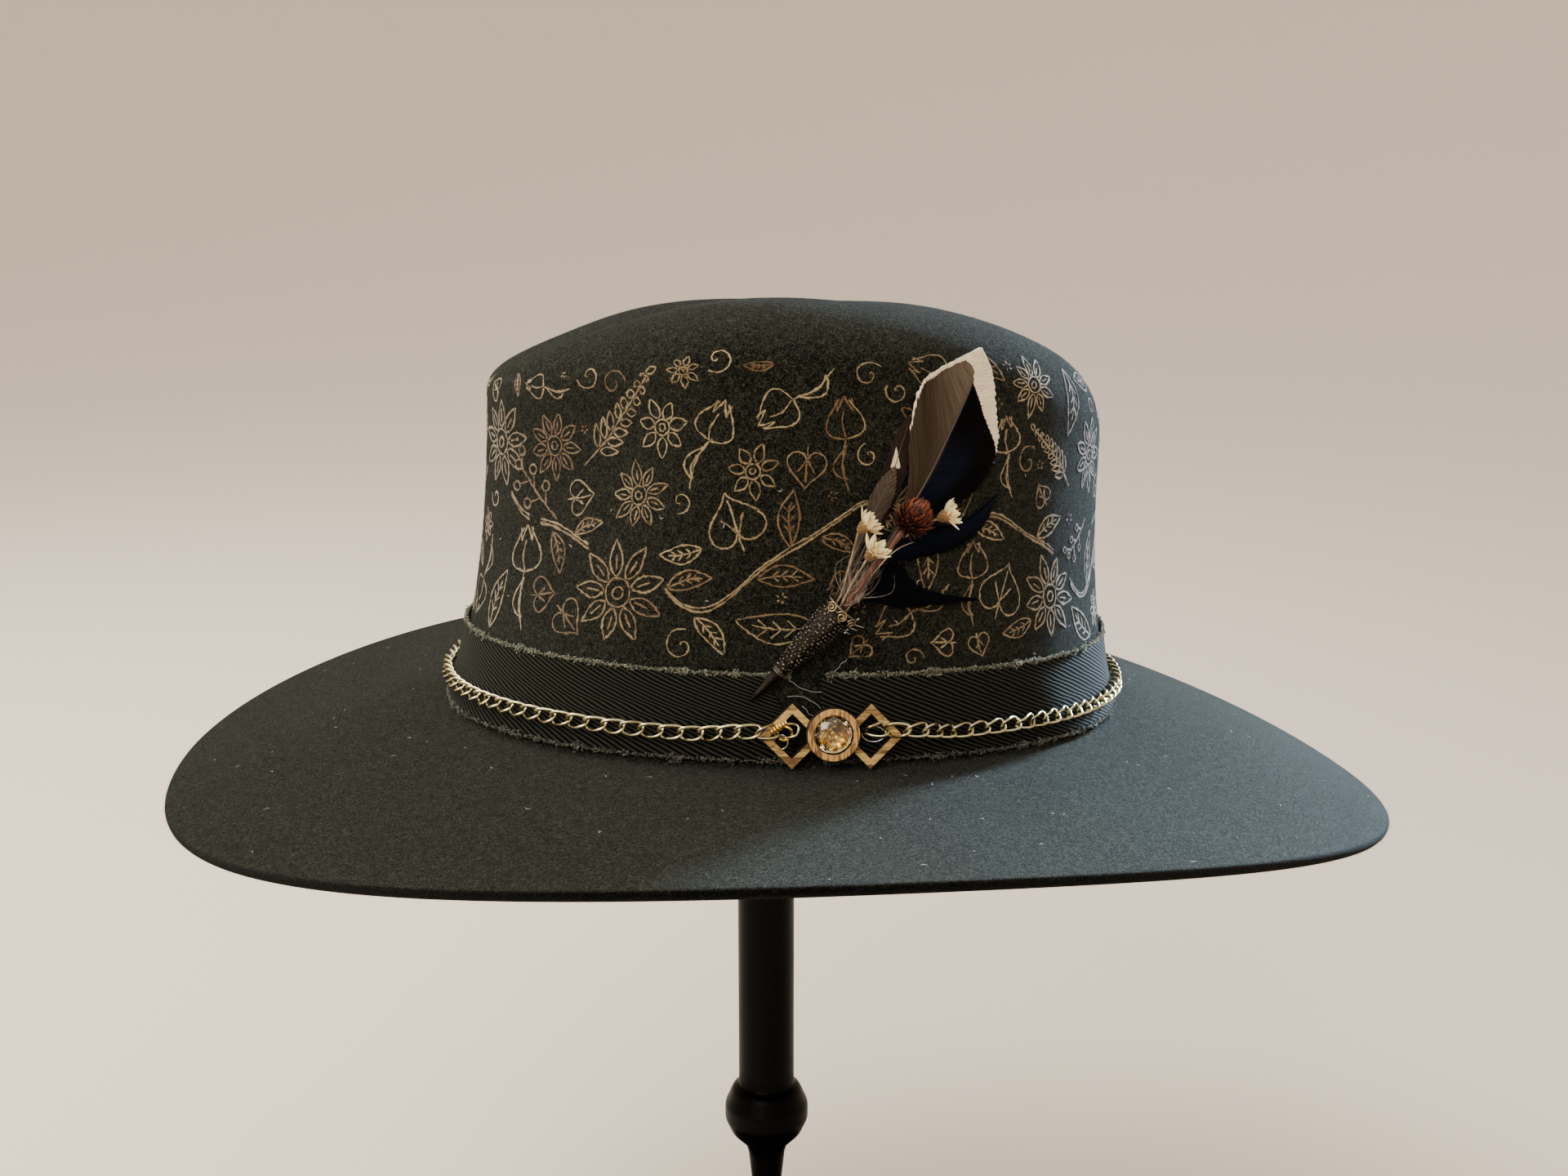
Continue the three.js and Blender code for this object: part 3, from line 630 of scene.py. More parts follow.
def ivy():
    """A heart shaped leaf with three veins."""
    t = np.linspace(0, 2 * np.pi, 34)
    tall = 13 * np.cos(t) - 5 * np.cos(2 * t) - 2 * np.cos(3 * t) - np.cos(4 * t)
    edge = (12 - tall) / 29 + 0.55j * 16 * np.sin(t) ** 3 / 16
    veins = [np.linspace(0.15, 0.85, 6) + 0j, 0.2 + np.linspace(0, 1, 5) * (0.35 + 0.22j)]
    veins += [np.conj(veins[1]), -0.15 + np.linspace(0, 1, 5) * 0.3]
    return [edge, *veins]


def leaf():
    """A slim pointed leaf with a middle rib and slanting side veins."""
    t = np.linspace(0, 1, 20)
    rib = t + 0.07j * np.sin(np.pi * t)
    side = 0.19 * np.sin(np.pi * t ** 0.85)
    lines = [rib + 1j * side, rib - 1j * side, rib[:16]]
    for share in (0.25, 0.42, 0.59):
        foot = share + 0.07j * np.sin(np.pi * share)
        lines += [foot + np.linspace(0, 1, 4) * vein for vein in (0.13 + 0.12j, 0.13 - 0.1j)]
    return lines


def curl():
    """A tendril that winds in on itself."""
    t = np.linspace(0, 1, 26)
    return [(1 - t) ** 0.8 * np.exp(1j * 7.5 * t)]


def spark():
    """Five short ticks round a point."""
    return [np.exp(2j * np.pi * k / 5) * np.array([0.35, 0.7, 1.0]) for k in range(5)]


def vine_line(run):
    """Height of the vine at a run round the crown: three waves that close on themselves."""
    share = 2 * np.pi * run / ring_length
    return 60 + 12 * np.sin(4 * share + 0.6) + 5 * np.sin(9 * share + 2.0) + 2 * np.sin(17 * share)


drawn = []                                                # each line, its width and tone
inked = np.zeros((int(ring_length) + 1, 150), bool)       # square millimetres already drawn on


def covered(lines):
    """The square millimetres under a motif's lines and under smaller copies of them that fill
    its inside, as columns and rows."""
    points = np.concatenate(lines)
    middle = (points.real.max() + points.real.min()) / 2 + 0.5j * (points.imag.max() + points.imag.min())
    points = (middle + (points - middle) * np.array([1, 0.8, 0.6, 0.4, 0.2])[:, None]).ravel()
    return np.mod(points.real, ring_length).astype(int), np.clip(points.imag, 1, 148).astype(int)


def mark(lines):
    """Takes up the room under the lines, and one millimetre round it."""
    column, row = covered(lines)
    for step in (-1, 0, 1):
        for rise in (-1, 0, 1):
            inked[np.mod(column + step, len(inked)), row + rise] = True


def draw(motif, run, climb, size, turn, width=1.0, forced=False):
    """Draws a motif where there is room for it. Its own lines are one long and point along +X;
    size is in millimetres and turn in degrees."""
    way = np.exp(1j * np.radians(turn))
    lines = [run + 1j * climb + line * size * way for line in motif()]
    points = np.concatenate(lines)
    angle = np.interp(np.mod(points.real, ring_length), ring_run, ring_angles)
    ceiling = wall_point(angle, 1.0)[:, 2] - wall_point(angle, 0.0)[:, 2] + round_radius(angle) * 0.9
    free = points.imag.min() > band_top and (points.imag < ceiling).all()
    fits = free and not inked[covered(lines)].any()
    if forced or fits:
        tone = pen_dice.uniform(0, 1)
        drawn.extend((line, width, tone + pen_dice.uniform(-0.2, 0.2)) for line in lines)
        mark(lines)


# Motif, run, climb, size and turn of the large ones; the vine's leaves and small ones follow
large_motifs = [
    (daisy, -121, 84, 14, 10), (daisy, -66, 46, 15, 20), (daisy, 96, 84, 12, 0), (daisy, 70, 44, 13, 30),
    (tulip, -100, 31, 31, 98), (tulip, -46, 76, 27, 68), (tulip, 126, 34, 30, 84),
    (tulip, 52, 74, 24, 100), (fern, -147, 33, 44, 78), (fern, -84, 80, 36, 40),
    (fern, 148, 60, 40, 100), (berries, -92, 64, 22, 150), (berries, 104, 62, 24, 20),
    (ivy, -30, 62, 15, 112), (ivy, 118, 78, 13, 40), (daisy, -178, 58, 15, 0),
    (daisy, 176, 82, 12, 15), (daisy, 190, 44, 14, 0), (tulip, -205, 32, 30, 80),
    (fern, 215, 34, 44, 82), (daisy, 248, 76, 15, 12), (berries, -222, 80, 24, 20),
    (ivy, 228, 90, 13, 60), (tulip, 268, 32, 31, 96), (daisy, -248, 50, 14, 5),
    (fern, -270, 60, 38, 60), (ivy, -190, 88, 14, 40),
]
for motif, run, climb, size, turn in large_motifs:
    draw(motif, run, climb, size, turn, forced=True)

vine_runs = np.arange(0, ring_length, 1.5)
vine = vine_runs + 1j * vine_line(vine_runs)
clear = np.array([not inked[covered([point[None]])].any() for point in vine])
breaks = np.flatnonzero(np.diff(clear.astype(int))) + 1
for k, run in enumerate(np.arange(4, ring_length, 8.5)):
    side = 1 if k % 2 else -1
    slope = np.degrees(np.arctan2(vine_line(run + 1) - vine_line(run - 1), 2))
    turn = slope + side * pen_dice.uniform(38, 62)
    draw(leaf, run, vine_line(run) + side * 1.5, pen_dice.uniform(11, 18), turn, width=0.9)
for stretch in np.split(np.arange(len(vine)), breaks):
    if clear[stretch[0]] and len(stretch) > 3:
        drawn.append((vine[stretch], 1.3, 0.45))
        drawn.append((vine[stretch] + 1.1j + 0.3 * np.sin(vine_runs[stretch] / 5), 0.9, 0.7))
        mark([vine[stretch]])

small_motifs = [
    (tulip, 27.0), (daisy, 10.5), (leaf, 24.0), (fern, 27.0), (ivy, 14.0), (tulip, 19.0),
    (small_daisy, 8.0), (leaf, 18.0), (berries, 17.0), (small_daisy, 6.5), (ivy, 10.0), (leaf, 13.0),
    (small_daisy, 5.2), (ivy, 7.0), (curl, 4.6), (leaf, 8.5), (curl, 3.4), (spark, 2.2), (spark, 1.5),
]
for motif, size in small_motifs:
    for _ in range(small_tries):
        run, climb = pen_dice.uniform(0, ring_length), pen_dice.uniform(28, 118)
        draw(motif, run, climb, size * pen_dice.uniform(0.9, 1.1), pen_dice.uniform(0, 360), width=0.85)


def ribbon(line, width, tone, key):
    """A drawn line spaced evenly, made unsteady, and given three points across on the felt, with
    its length and its place across as flat coordinates."""
    steps = distances(np.abs(np.diff(line)))
    count = max(int(steps[-1] / line_step), 3)
    even = np.linspace(0, steps[-1], count)
    line = np.interp(even, steps, line.real) + 1j * np.interp(even, steps, line.imag)
    shake = pen_dice.normal(size=(2, count + 6))
    shake = np.stack([np.convolve(row, np.ones(7) / 7, "valid") for row in shake])
    line = line + (shake[0] + 1j * shake[1]) * line_shake
    way = np.gradient(line)
    across = 1j * way / np.maximum(np.abs(way), 1e-9) * width * line_half
    uneven = 1 + 0.2 * np.sin(even * 1.3 + key) + pen_dice.normal(0, 0.28, count)
    across = across * uneven.clip(0.4, 1.7)
    flat = line[:, None] + across[:, None] * np.array([-1, 0, 1])
    out = np.array([0.05, 0.13, 0.05]) + 0.06 * np.mod(key * 0.618, 1)
    points = crown_skin(flat.real, flat.imag, np.broadcast_to(out, flat.shape))
    uv = np.stack(np.broadcast_arrays(even[:, None] / 10 + key * 1.7, np.array([0, 0.5, 1.0])), -1)
    ends = np.minimum(even, steps[-1] - even)[:, None] * np.ones(3)
    return points.reshape(-1, 3), uv.reshape(-1, 2), np.full(count * 3, tone), ends.ravel()


ribbons = [ribbon(line, width, tone, key) for key, (line, width, tone) in enumerate(drawn)]
sizes = [len(made[0]) for made in ribbons]
faces = np.concatenate([
    grid_faces(size // 3, 3, wrap_columns=False) + start for size, start in zip(sizes, distances(sizes))])
points, uv, tones, ends = (np.concatenate(column) for column in zip(*ribbons))
burnt, tree, shader, place = new_material(
    "burnt_line", Roughness=0.85, Sheen_Weight=0.25, Specular_IOR_Level=0.25)
flat = flat_place(tree)
parts = add_node(tree, "SeparateXYZ", {0: flat}).outputs
edge_share = calc(tree, "ABSOLUTE", calc(tree, "MULTIPLY_ADD", parts["Y"], 2.0, -1.0))
crumbs = noise(tree, place, 1500.0, 4.0, 0.7)
gaps = noise(tree, flat, 2.6, 3.0, 0.6)
ragged = calc(tree, "MULTIPLY_ADD", calc(tree, "SUBTRACT", crumbs, 0.5), 1.5, edge_share)
whole = calc(tree, "SUBTRACT", 1.0, between(tree, ragged, 0.35, 1.0))
kept = calc(tree, "SUBTRACT", 1.0, calc(tree, "MULTIPLY", between(tree, gaps, 0.56, 0.70), 0.85))
inked_end = between(tree, stored(tree, "ends"), -0.4, 0.7)
cover = calc(tree, "MULTIPLY", calc(tree, "MULTIPLY", whole, kept), inked_end)
slow = calc(tree, "MULTIPLY", noise(tree, flat, 1.0, 2.0), 0.5)
hue = calc(tree, "MULTIPLY_ADD", noise(tree, flat, 9.0, 2.0), 0.6, slow)
hue = calc(tree, "MULTIPLY_ADD", stored(tree, "tone"), 0.4, hue)
light_line = colours(tree, between(tree, hue, 0.54, 0.94), (0.130, 0.072, 0.026), (0.350, 0.280, 0.140))
core = calc(tree, "SUBTRACT", 1.0, between(tree, ragged, 0.05, 0.65))
scorched = colours(tree, core, (0.030, 0.017, 0.007), light_line)
finish_material(tree, shader, Base_Color=scorched, Alpha=cover, Normal=relief(tree, crumbs, 0.8, 0.0006))
add_piece("burnt_drawing", to_row(points), [faces], burnt, uv=uv,
          values={"tone": tones, "ends": ends}, shell=False)

# Hat band
# A torn strip of black-brown cotton twill, 25 mm wide, stretched round the foot of the crown.
# Its long edges are frayed, and its two raw ends leave a gap behind the wooden ornament.

band_low, band_high, band_out, band_thick = 1.7, 26.0, 0.45, 0.9
band_start, band_end = -1.642, -1.712 + 2 * np.pi
band_rows, band_columns = 640, 15
rib_spacing, yarn_spacing = 0.12, 0.06     # centimetres
band_dice = np.random.default_rng(5)


def around_crown(angle, height, out):
    """The wall's point a height over the join, moved out along the wall's own direction."""
    foot, head = wall_point(angle, 0.0)[..., 2], wall_point(angle, 1.0)[..., 2]
    rise = height / (head - foot)
    sideways = wall_point(angle + 0.002, rise) - wall_point(angle - 0.002, rise)
    upwards = wall_point(angle, rise + 0.004) - wall_point(angle, rise - 0.004)
    way = unit(np.cross(sideways, upwards))
    return wall_point(angle, rise) + way * np.asarray(out)[..., None], way


def shell_faces(rows, columns):
    """Faces of a thin body whose front and back are two grids, one after the other."""
    back = rows * columns
    front_faces = grid_faces(rows, columns, wrap_columns=False)
    rim = np.concatenate([
        np.arange(columns), np.arange(1, rows) * columns + columns - 1,
        (rows - 1) * columns + np.arange(columns - 2, -1, -1), np.arange(rows - 2, 0, -1) * columns,
    ])
    after = np.roll(rim, -1)
    sides = np.stack([rim, rim + back, after + back, after], -1)
    return np.concatenate([front_faces, front_faces[:, ::-1] + back, sides])


band_share = np.linspace(0, 1, band_rows)[:, None]
band_across = np.linspace(0, 1, band_columns)[None, :]
waves = np.sin(band_share * 61) + 0.6 * np.sin(band_share * 143 + 1) + 0.5 * np.sin(band_share * 387 + 2)
slant = 0.075 * ease(band_across, 0.35, 1.0) + 0.006 * np.sin(band_across * 40)
band_angle = lerp(band_start + 0.004 * np.sin(band_across * 33), band_end - slant, band_share)
band_height = lerp(band_low + 0.10 * waves, band_high + 0.16 * waves, band_across)
puff = 0.12 * np.sin(band_share * 97 + band_across * 5) * np.sin(np.pi * band_across) + 0.12
front, band_way = around_crown(band_angle, band_height, band_out + band_thick + puff - 0.12)
back = front - band_way * band_thick
run = distances(np.linalg.norm(np.diff(front[:, band_columns // 2], axis=0), axis=1))
flat_run = run[:, None] * np.ones_like(band_across)
band_uv = np.stack([flat_run / 10, (band_height - band_low) / 10], -1)
band_points = np.concatenate([front.reshape(-1, 3), back.reshape(-1, 3)])
band_uv = np.concatenate([band_uv.reshape(-1, 2)] * 2)

twill, tree, shader, place = new_material(
    "twill", Roughness=0.8, Sheen_Weight=0.03, Sheen_Roughness=0.4,
    Sheen_Tint=(0.75, 0.8, 0.7), Specular_IOR_Level=0.05)
flat = flat_place(tree)
parts = add_node(tree, "SeparateXYZ", {0: flat}).outputs
wander = calc(tree, "MULTIPLY", noise(tree, flat, 0.5, 1.0), 0.06)
slope = calc(tree, "MULTIPLY_ADD", parts["X"], 0.39, calc(tree, "MULTIPLY", parts["Y"], 0.92))
phase = calc(tree, "MULTIPLY", calc(tree, "ADD", slope, wander), 2 * np.pi / rib_spacing)
rib = calc(tree, "MULTIPLY_ADD", calc(tree, "SINE", phase), 0.5, 0.5)
yarn_slope = calc(tree, "MULTIPLY_ADD", parts["Y"], -0.35, parts["X"])
yarn_phase = calc(tree, "MULTIPLY", yarn_slope, 2 * np.pi / yarn_spacing)
yarn = calc(tree, "MULTIPLY_ADD", calc(tree, "SINE", yarn_phase), 0.5, 0.5)
slub = noise(tree, stretched(tree, flat, (3.0, 22.0, 1.0)), 1.0, 3.0, 0.6)
yarn_height = calc(tree, "MULTIPLY_ADD", yarn, 0.12, 0.88)
woven = calc(tree, "MULTIPLY", between(tree, rib, 0.30, 0.95), yarn_height)
dark = colours(tree, between(tree, slub, 0.35, 0.7), (0.0010, 0.0011, 0.0008), (0.0022, 0.0022, 0.0015))
cloth = colours(tree, woven, dark, (0.030, 0.032, 0.023))
finish_material(tree, shader, Base_Color=cloth, Normal=relief(tree, woven, 0.8, 0.0003))
hat_band = add_piece("band_cloth", to_row(band_points), [shell_faces(band_rows, band_columns)], twill,
                     uv=band_uv)


def tubes(paths, radius, sides=5, ring=False, lean=(0.3, 0.2, 0.9)):
    """Round rods along many paths at once: a circle of points at the radius round each point of
    a path, square to it. ring joins a path's end to its start. Gives points and face groups."""
    count, steps = paths.shape[:2]
    if ring:
        way = np.roll(paths, -1, 1) - np.roll(paths, 1, 1)
    else:
        way = np.gradient(paths, axis=1)
    way = unit(way)
    side = unit(np.cross(way, np.broadcast_to(np.asarray(lean, float), way.shape)))
    other = np.cross(way, side)
    turn = 2 * np.pi * np.arange(sides) / sides
    radius = np.broadcast_to(np.asarray(radius, float), (count, steps))[:, :, None, None]
    circle_way = side[:, :, None] * np.cos(turn)[:, None] + other[:, :, None] * np.sin(turn)[:, None]
    points = paths[:, :, None] + circle_way * radius
    rod = [grid_faces(steps, sides, wrap_rows=True)] if ring else capped(steps, sides)
    return points.reshape(-1, 3), [repeated(faces, count, steps * sides) for faces in rod]


def join_groups(made):
    """Several results of tubes as one body: points and face groups, renumbered."""
    points, groups, start = [], {}, 0
    for some, faces in made:
        points.append(some)
        for group in faces:
            groups.setdefault(group.shape[1], []).append(group + start)
        start += len(some)
    return np.concatenate(points), [np.concatenate(group) for group in groups.values()]


# Frayed edges of the band
# Crimped grey-green yarn ends that crumble out of the twill's torn edges, matted together in
# clumps, with a few long threads that hang loose over the felt behind the ornament.


def fray(count, edge_height, spread, tilt):
    """Short crimped threads near an edge: each runs from the cloth past the edge and waves from
    side to side, its size following slow clumps round the crown."""
    share = band_dice.uniform(0.002, 0.998, count)
    angle = lerp(band_start, band_end, share)
    clump = 0.62 + 0.38 * np.sin(share * 210) * np.sin(share * 77 + 1) + 0.25 * np.sin(share * 530)
    clump = np.clip(clump, 0.5, 1.25)
    size = band_dice.uniform(0.35, 1.0, count) * clump
    way = band_dice.normal(tilt, 0.9, count)
    height = edge_height + band_dice.normal(0, spread, count) * clump
    out = band_out + band_thick * band_dice.uniform(0.3, 1.0, count)
    out = out + band_dice.uniform(0, 0.9, count) * clump
    t = np.linspace(-0.5, 0.5, 4)[None, :]
    speed, phase = band_dice.uniform(9, 16, (count, 1)), band_dice.uniform(0, 6, (count, 1))
    wave = 0.22 * np.sin(t * speed + phase)
    along = (t * np.cos(way)[:, None] - wave * np.sin(way)[:, None]) * size[:, None]
    up = (t * np.sin(way)[:, None] + wave * np.cos(way)[:, None]) * size[:, None]
    lift = out[:, None] + 0.2 * np.cos(t * 11 + way[:, None])
    points, _ = around_crown(angle[:, None] + along / 96, np.maximum(height[:, None] + up, 0.55), lift)
    points, groups = tubes(points, 0.17 * np.array([0.8, 1.1, 1.1, 0.7]), sides=3)
    return points, groups, np.repeat(band_dice.uniform(0, 1, count), 12)


yarn_ends, tree, shader, place = new_material(
    "yarn_ends", Roughness=0.9, Sheen_Weight=0.25, Specular_IOR_Level=0.2)
tint = noise(tree, place, 800.0, 3.0, 0.6)
warm = noise(tree, place, 90.0, 2.0)
grey = colours(tree, between(tree, warm, 0.35, 0.65), (0.310, 0.335, 0.225), (0.380, 0.365, 0.235))
paleness = calc(tree, "MULTIPLY", between(tree, tint, 0.22, 0.58), stored(tree, "tone"))
dusky = colours(tree, paleness, (0.010, 0.011, 0.008), grey)
finish_material(tree, shader, Base_Color=dusky, Normal=relief(tree, tint, 0.5, 0.0003))
points, groups, tones = fray(8400, band_high + 0.1, 0.55, 1.2)
add_piece("band_fray_top", to_row(points), groups, yarn_ends, values={"tone": tones})
# The lower fray's tones are scaled by 0.45 below: painted shade under the band and chain
points, groups, tones = fray(5600, band_low + 0.5, 0.50, 1.2)
add_piece("band_fray_bottom", to_row(points), groups, yarn_ends,
          values={"tone": tones * 0.45})

# Each loose thread: run from the gap's middle and height at its start and end, and its sag
loose = np.array([
    [-5.5, 24.5, 5.0, 21.5, -1.2], [-6.0, 20.0, 4.0, 16.5, 1.6], [4.0, 15.5, -1.5, 17.5, -1.6],
    [6.0, 25.0, 11.0, 30.5, 0.8], [8.0, 26.5, 14.0, 28.0, -1.0], [-9.0, 26.0, -4.0, 28.4, 1.0],
])
t = np.linspace(0, 1, 14)[None, :]
run = lerp(loose[:, 0:1], loose[:, 2:3], t) + 0.25 * np.sin(t * 17)
up = lerp(loose[:, 1:2], loose[:, 3:4], t) + loose[:, 4:5] * np.sin(np.pi * t)
paths, _ = around_crown(-1.676 + run / 105, up, 0.75 + 0.35 * np.sin(np.pi * t) + 0 * run)
pale = two_toned("loose_thread", (260.0, 2.0), (0.06, 0.06, 0.05), (0.30, 0.30, 0.26),
                 Roughness=0.75, Sheen_Weight=0.3)
points, groups = tubes(paths, 0.12, sides=4)
add_piece("band_loose_threads", to_row(points), groups, pale)
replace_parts(hat_band, "hat_band")

# Gold chain
# About a hundred curb links of 1 mm pale gold plated wire, each a loop twisted so that the
# next lies flat in it. The ends climb over the wooden corners and hook into the frames.

link_long, link_wide, wire, link_pitch, twist = 7.9, 4.7, 0.96, 5.72, -1.1
chain_height, chain_out, wood_climb, end_dip = 9.3, 3.5, 2.8 + 1.7, 3.3
chain_start = 0.118     # angle from the ornament's middle


def find_on_side(x, z):
    """Angle and rise of the near side's point at x and z, by eight steps towards that x."""
    angle = np.full(np.shape(x), -np.pi / 2)
    for _ in range(8):
        foot = wall_point(angle, 0.0)[..., 2]
        rise = np.clip((z - foot) / (wall_point(angle, 1.0)[..., 2] - foot), 0, 1)
        angle = angle - (x - wall_point(angle, rise)[..., 0]) / (join_length * np.sin(angle))
    return angle, rise


ornament_x, ornament_z = -4.7, 10.5
trim_middle = float(find_on_side(ornament_x, ornament_z)[0])


def chain_line(turned):
    """The chain's line at an angle from the ornament: it lies on the band, climbs over the wood
    by a smooth step, and dips into the frame's opening at its very end."""
    away = np.minimum(turned, 2 * np.pi - turned)
    lift = 1 - ease(away, 0.20, 0.36)
    dip = 1 - ease(away, 0.125, 0.185)
    out = chain_out + wood_climb * lift - end_dip * dip
    return around_crown(trim_middle + turned, chain_height + 2.0 * lift, out)


turned = np.linspace(chain_start, 2 * np.pi - chain_start, 2400)
far = distances(np.linalg.norm(np.diff(chain_line(turned)[0], axis=0), axis=1))
link_count = int(round(far[-1] / link_pitch)) + 1
spots = np.interp(np.linspace(0, far[-1], link_count), far, turned)
middles, out_way = chain_line(spots)
along = unit(chain_line(spots + 0.006)[0] - chain_line(spots - 0.006)[0])
upward = unit(np.cross(out_way, along))
out_way = np.cross(along, upward)
roll = np.random.default_rng(3).normal(0, 0.09, link_count)[:, None]
upward, out_way = (upward * np.cos(roll) + out_way * np.sin(roll),
                   out_way * np.cos(roll) - upward * np.sin(roll))
t = full_turn(26)
oval = np.abs(np.cos(t)) ** 0.9 * np.sign(np.cos(t))
flat_x = (link_long - wire) / 2 * oval
flat_y = (link_wide - wire) / 2 * np.sign(np.sin(t)) * np.abs(np.sin(t)) ** 0.75
flat_x = flat_x + 0.30 * flat_y
flat_z = twist * np.sin(2 * t)
paths = (middles[:, None] + along[:, None] * flat_x[:, None] + upward[:, None] * flat_y[:, None]
         + out_way[:, None] * flat_z[:, None])

# Tarnish in soft patches and a finer scuff, both finer on a smaller piece
metal_wear, given, out = new_effect(
    "metal_wear", {"Place": "Vector", "Size": "Float"}, ["Tarnish", "Scuff"])
tree = metal_wear
spread = noise(tree, given["Place"], calc(tree, "MULTIPLY", given["Size"], 160.0), 4.0, 0.6)
tree.links.new(between(tree, spread, 0.42, 0.72), out["Tarnish"])
streaked = stretched(tree, given["Place"], (3.0, 3.0, 0.6))
scuff = noise(tree, streaked, calc(tree, "MULTIPLY", given["Size"], 700.0), 3.0, 0.7)
tree.links.new(scuff, out["Scuff"])


def metal(name, size, bright, dull, rough, scuffed=None, bump=None):
    """A bare metal from bright to dull by its tarnish. scuffed is how much rougher the scuff
    makes it and its roughness without, and bump is the scuff's relief."""
    material, tree, shader, place = new_material(name, Metallic=1.0, Roughness=rough)
    wear = use_effect(tree, metal_wear, Place=place, Size=size)
    finish_material(tree, shader, Base_Color=colours(tree, wear["Tarnish"], bright, dull))
    if scuffed:
        finish_material(tree, shader, Roughness=calc(tree, "MULTIPLY_ADD", wear["Scuff"], *scuffed))
    if bump:
        finish_material(tree, shader, Normal=relief(tree, wear["Scuff"], *bump))
    return material


gold = metal("gold_plate", 1.0, (0.64, 0.57, 0.34), (0.32, 0.26, 0.13), 0.2, (0.22, 0.13), (0.12, 0.0002))
points, groups = tubes(paths, wire / 2, sides=8, ring=True)
chain = add_piece("chain_links", to_row(points), groups, gold)
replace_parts(chain, "chain")

# Wooden ornament
# Two square frames of tan ply on point and a ring of reddish walnut over their inner corners,
# cut 2.4 and 3 mm thick by a laser that browned their sides, and glued onto the band.

side_square, bar, frame_thick = 13.0, 2.1, 2.4
ring_outer, ring_inner, ring_ledge = 7.35, 5.45, 4.4
frame_back, ring_back = 1.8, 4.6
trim_angle, trim_rise = find_on_side(ornament_x, ornament_z)
trim_spot = wall_point(trim_angle, trim_rise)
trim_out = around_crown(trim_angle, ornament_z, 0.0)[1]
trim_up = unit(np.cross(trim_out, [1.0, 0, 0]))
trim_along = np.cross(trim_up, trim_out)
facing = to_row(trim_spot + trim_out) - to_row(trim_spot)


def on_trim(points):
    """Points along, up and out from the ornament's middle on the wall."""
    return trim_spot + points @ np.stack([trim_along, trim_up, trim_out])


def turned_body(profile, columns, start=0.0, middle=(0, 0, 0)):
    """A closed profile of radius and height carried round its axis, columns times."""
    radius, height = np.array(profile).T
    turn = start + 2 * np.pi * np.arange(columns) / columns
    x, y = radius[:, None] * np.cos(turn), radius[:, None] * np.sin(turn)
    points = np.stack([x, y, np.broadcast_to(height[:, None], x.shape)], -1) + np.array(middle)
    return points.reshape(-1, 3), grid_faces(len(radius), columns, wrap_rows=True)


def bevelled(inner, outer, low, high, cut):
    """A rectangle of radius and height with its four corners cut off."""
    return [(inner + cut, low), (outer - cut, low), (outer, low + cut), (outer, high - cut),
            (outer - cut, high), (inner + cut, high), (inner, high - cut), (inner, low + cut)]


wood_grain, given, out = new_effect(
    "wood_grain", {"Place": "Vector", "Lines": "Float"}, ["Shade", "Pores"])
tree = wood_grain
lines = noise(tree, given["Place"], given["Lines"], 4.0, 0.65, 0.8)
streaks = noise(tree, given["Place"], calc(tree, "MULTIPLY", given["Lines"], 0.3), 2.0, 0.5, 0.4)
shade = calc(tree, "MULTIPLY_ADD", lines, 0.6, calc(tree, "MULTIPLY", streaks, 0.4))
tree.links.new(shade, out["Shade"])
pores = noise(tree, stretched(tree, given["Place"], (0.5, 3.0, 3.0)), given["Lines"], 2.0, 0.5)
tree.links.new(between(tree, pores, 0.60, 0.70), out["Pores"])


def wood(name, stretch, dark, light, deep):
    """Grain stretched along one direction, pores as short dark strokes, and sides browned by
    the laser where the face turns away from the ornament's front."""
    material, tree, shader, place = new_material(name, Roughness=0.55, Specular_IOR_Level=0.4)
    grain = use_effect(tree, wood_grain, Place=stretched(tree, place, stretch), Lines=1.0)
    plain = colours(tree, between(tree, grain["Shade"], 0.42, 0.56), dark, light)
    pored = colours(tree, calc(tree, "MULTIPLY", grain["Pores"], 0.8), plain, deep)
    face = add_node(tree, "NewGeometry").outputs["Normal"]
    ways = {0: face, 1: tuple(facing * 1000)}
    to_front = add_node(tree, "VectorMath", ways, operation="DOT_PRODUCT").outputs["Value"]
    front_share = between(tree, to_front, 0.35, 0.95)
    browned = colours(tree, front_share, (0.018, 0.009, 0.005), pored)
    finish_material(tree, shader, Base_Color=browned, Normal=relief(tree, grain["Shade"], 0.35, 0.0003))
    return material


tan_ply = wood("tan_ply", (160.0, 700.0, 1400.0),
               (0.150, 0.074, 0.022), (0.62, 0.410, 0.135), (0.055, 0.025, 0.009))
walnut = wood("red_walnut", (1900.0, 900.0, 130.0),
              (0.165, 0.074, 0.023), (0.660, 0.390, 0.125), (0.040, 0.017, 0.006))
corner_out, corner_in = side_square * 0.5 ** 0.5, (side_square - 2 * bar) * 0.5 ** 0.5
profile = bevelled(corner_in, corner_out, frame_back, frame_back + frame_thick, 0.14)
for name, along, drop in (("wood_frame_left", -11.0, 0.8), ("wood_frame_right", 11.0, 1.1)):
    points, faces = turned_body(profile, 4, middle=(along, -drop, 0))
    square = add_piece(name, to_row(on_trim(points)), [faces], tan_ply, smooth=False)
    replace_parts(square, name.replace("frame", "diamond"))
ring_profile = np.array([
    (ring_ledge, 0), (7.2, 0), (ring_outer, 0.15), (ring_outer, 2.7), (7.27, 2.9), (7.1, 3.0),
    (5.65, 3.0), (5.5, 2.92), (ring_inner, 2.75), (ring_inner, 0.8), (ring_ledge, 0.8),
]) + [0, ring_back]
points, faces = turned_body(ring_profile, 96)
walnut_ring = add_piece(
    "wood_ring_turned", to_row(on_trim(points)), [faces], walnut, smooth=False)
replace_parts(walnut_ring, "wood_ring")

